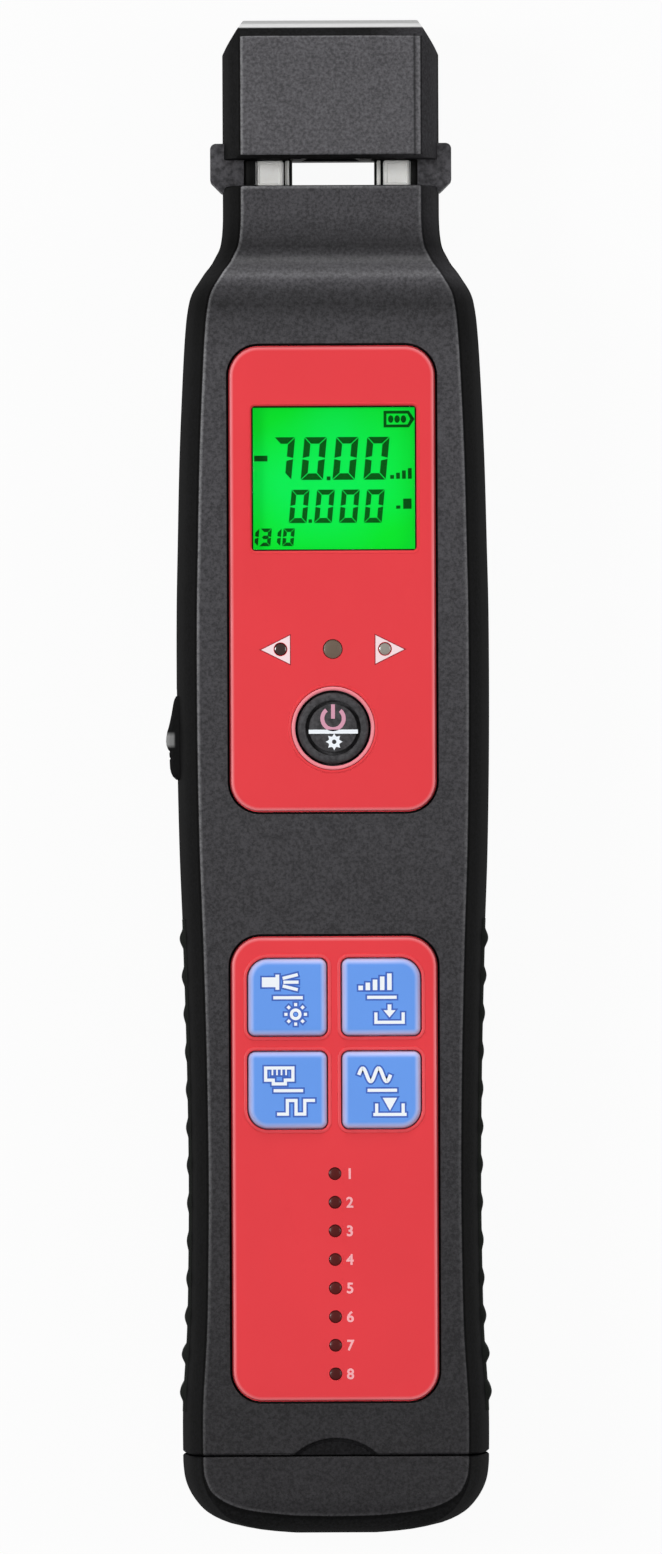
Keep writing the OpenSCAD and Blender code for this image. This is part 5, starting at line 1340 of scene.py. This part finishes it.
def grip(s, name):
    y0, y1 = grip_span()
    ys = [y0 + (y1 - y0) * k / 300 for k in range(301)]
    inner = [(s * (half_w(y) - GRIP_T), y) for y in reversed(ys[::20])]

    def at(o):
        return [(s * (half_w(y) + swell(y) + o), y) for y in ys] + inner
    ob = prism("grip", at, soft_edges(GRIP_Z, ((0, -0.4), (0.12, -0.15), (0.4, 0))))
    finished(ob, name + "_piece", "case", "grip_rubber", "rubber", name, angle=40)


PAD_SHARES = ((0, 0), (0.04, 0.34), (0.085, 0.52), (0.14, 0.62), (0.235, 0.66), (0.255, 0.57), (0.275, 0.66),
              (0.315, 0.69), (0.34, 0.62), (0.358, 0.77), (0.385, 0.87), (0.415, 0.95), (0.46, 1.0),
              (0.51, 0.97), (0.575, 0.88), (0.63, 0.74), (0.69, 0.62), (0.78, 0.46), (0.865, 0.34),
              (0.925, 0.25), (0.96, 0.17), (1, 0))


def slider():
    """Thumb slider: its outline from PAD_SHARES, as place along the pad and share of its height."""
    x, mid = -BODY_W / 2 + 0.3, sum(PAD_Y) / 2
    pts = [(x - 0.46 - PAD_OUT * s, PAD_Y[0] + (PAD_Y[1] - PAD_Y[0]) * t) for t, s in PAD_SHARES]

    def at(o):
        scale = 1 + o / 5.5
        outer = [(min(px - o, x - 0.01), mid + (py - mid) * scale) for px, py in pts]
        return [(x, mid + (PAD_Y[0] - mid) * scale)] + outer + [(x, mid + (PAD_Y[1] - mid) * scale)]
    ob = prism("slider", at, soft_edges(around(PART_Z, PAD_D), ((0, -0.45), (0.15, -0.2), (0.5, 0))))
    join(ob, box((x - 0.1, -BODY_W / 2 + WALL + 2.6), around(mid, SHANK_LEN), SHANK_Z))
    finished(ob, "slider_pad", "clamp", "shell_back", "slider", "thumb_slider", angle=30)


def spring():
    """Return spring: a copy of the node's mesh that rides with the plunger."""
    ob = bpy.data.objects.new("spring", nodes["return_spring"].data.copy())
    scene.collection.objects.link(ob)
    finished(ob, "spring_coil", "clamp", "steel", "steel", "return_spring", angle=40)
    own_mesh(ob)


def battery_door():
    x, y = DOOR_W / 2, DOOR_Y[0] + 21
    ob = prism("door", rounded(0, sum(DOOR_Y) / 2, DOOR_W, DOOR_Y[1] - DOOR_Y[0], 1.0, 6),
               [(DOOR_LIFT, -0.3), (DOOR_LIFT + 0.1, -0.1), (DOOR_LIFT + 0.3, 0), (DOOR_LIP_Z[0], 0)])
    for s in (1, -1):
        join(ob, box(sides(s, x - 1.4, x + DOOR_LIP_W), (DOOR_Y[0] + 1.2, DOOR_Y[1] - 0.6),
                     (DOOR_LIP_Z[0] - 0.01, DOOR_LIP_Z[1])))
    for k in range(6):
        cut(ob, prism("tool", rounded(0, DOOR_Y[0] + 6.5 + 2 * k, 16, 1.0, 0.45, 5),
                      [(DOOR_LIFT - 1, 0.5), (DOOR_LIFT + 0.15, 0), (DOOR_LIFT + 0.6, -0.15)]))
    cut(ob, upright([(-2.2, y + 1.9), (2.2, y + 1.9), (0, y - 1.9)], (DOOR_LIFT - 1, DOOR_LIFT + 0.35)))
    finished(ob, "door_piece", "battery_door", "shell_back", "back", "battery_door", angle=30)


def screw(x, y, head_z, tip_z):
    """Pan-head screw with a cross recess, its head at head_z, its point at tip_z."""
    s = 1 if head_z > tip_z else -1
    head = ((0.95, 1.3), (1.9, 1.3), (1.9, 0.55), (1.75, 0.22), (1.35, 0.04), (0.8, 0), (0, 0))
    point = [(0, tip_z), (0.5, tip_z), (0.95, tip_z + s * 0.7)]
    ob = lathe("screw", point + [(r, head_z - s * d) for r, d in head], x, y, 32)
    recess = sorted((head_z + s * 0.5, head_z - s * 0.8))
    return cut(ob, *[box(around(x, w), around(y, l), recess) for w, l in ((0.42, 2.3), (2.3, 0.42))])


def screws():
    case = [screw(s * x, y, d - 1.3, PART_Z + 6) for s in (1, -1) for (x, y), d in zip(COLUMNS, SCREW_DEPTH)]
    head = [screw(s * HEAD_SCREW[0], HEAD_SCREW[1], BACK_TOP + 1.1, HEAD_PART_Z + 5) for s in (1, -1)]
    board = [screw(s * x, y, BOARD_Z + 2.9, BOARD_Z - 2) for s in (1, -1) for x, y in BOARD_SCREWS]
    for name, parts in (("case", case), ("head", head), ("board", board)):
        finished(merged(parts), name + "_screw_set", "case", "steel", "screw", name + "_screws")


def adapter(node, x, z, r, nose_r, nose):
    """Threaded port: nose with thread, flange and the bore for a ferrule."""
    y0, bore_r, length, pitch = Y_CAP - 0.1 - nose, 1.26, 8.0, 0.4
    profile = [(bore_r, 0.0), (1.7, 0.0), (nose_r - 0.35, 0.0), (nose_r - 0.1, 0.22)]
    k = pitch
    while k < nose - 0.55:
        profile += [(nose_r, k), (nose_r - 0.22, k + 0.2)]
        k += pitch
    profile += [(nose_r, nose - 0.35), (nose_r, nose + 0.05), (r - 0.12, nose + 0.05), (r, nose + 0.17),
                (r, length), (bore_r, length)]
    rings = [[(px, y0 + h, pz) for px, pz in circle(x, z, q, 56)()] for q, h in profile]
    ob = loft(node, rings, closed=True)
    finished(ob, node + "_piece", "case", "adapter_metal", "nickel", node, angle=35)


# Build
front_shell()
rear_shell()
end_cover()
head_block()
head_cover()
ear(-1, "left_ear")
ear(1, "right_ear")
slot_inside()
plate("plate_upper", UPPER_Y, "upper_faceplate")
plate("plate_lower", LOWER_Y, "lower_faceplate")
power_key()
for key in KEYS:
    blue_key(*key)
key_marks()
lamps()
plate_marks()
display()
grip(-1, "left_grip")
grip(1, "right_grip")
slider()
spring()
battery_door()
screws()
adapter("power_meter_adapter", -12.4, 15.4, 4.6, 4.0, 3.0)
adapter("visible_laser_adapter", 12.4, 14.4, 3.7, 2.9, 3.4)

CARRIED = {
    "lcd": ("lcd_glass",), "guide": ("lcd_backlight",), "gold": ("lcd_pins", "jack_contacts"),
    "board": ("main_board", "lamp_board"), "back": ("port_plate",), "torch": ("torch_lamp",),
    "black": ("board_header", "switches", "buzzer", "battery_box", "modular_jack"),
    "steel": ("tie_rods", "slide_plate", "plunger", "battery_contacts", "battery_springs",
              "cover_hinge_pin"),
    "housing": ("plunger_guide", "photodiodes", "power_meter_detector", "visible_laser"),
    "anvil": ("anvil",), "lead": ("detector_lead",), "cell": ("battery_cells",),
}
for look, names in CARRIED.items():
    for name in names:
        for s in nodes[name].material_slots:
            s.material = M[look]

# Floor, light and camera
FLOOR_HALF, FLOOR_Z = 3000, -0.05
corners = [(x * FLOOR_HALF, y * FLOOR_HALF, FLOOR_Z) for x, y in ((-1, -1), (1, -1), (1, 1), (-1, 1))]
floor = make("floor", corners, [(0, 1, 2, 3)])
floor.data.materials.append(floor_material())

world = bpy.data.worlds.new("studio")
scene.world = world
world.use_nodes = True
sky = world.node_tree.nodes["Background"]
sky.inputs["Color"].default_value = (1, 1, 1, 1)
sky.inputs["Strength"].default_value = 0.3


LOOK_AT = Vector((0, 0, 0.015))


def lamp(name, place, size, watts):
    """Square area lamp that looks at the object."""
    data = bpy.data.lights.new(name, "AREA")
    data.shape = "SQUARE"
    data.size = size
    data.energy = watts
    ob = bpy.data.objects.new(name, data)
    ob.location = place
    ob.rotation_euler = (LOOK_AT - Vector(place)).to_track_quat("-Z", "Y").to_euler()
    scene.collection.objects.link(ob)


lamp("left_light", (-1.25, 0.2, 1.65), 0.5, 19.6)
lamp("right_light", (1.3, 0.1, 1.5), 0.7, 9.2)
lamp("top_light", (0.1, 1.8, 0.8), 0.7, 13.4)

DISTANCE, PLANE_Z, FRAME_H, CAMERA_X, CAMERA_TURN = 2.8, 0.024, 0.2057, -0.0003, -0.243
cam = bpy.data.cameras.new("camera")
cam.sensor_fit = "VERTICAL"
cam.sensor_height = 36
cam.lens = cam.sensor_height * DISTANCE / FRAME_H
cam.clip_start = 0.05
cam.clip_end = 20
camera = bpy.data.objects.new("camera", cam)
camera.location = (CAMERA_X, 0.0, DISTANCE + PLANE_Z)
camera.rotation_euler = (0, 0, math.radians(CAMERA_TURN))
scene.collection.objects.link(camera)
scene.camera = camera
scene.view_settings.view_transform = "Standard"
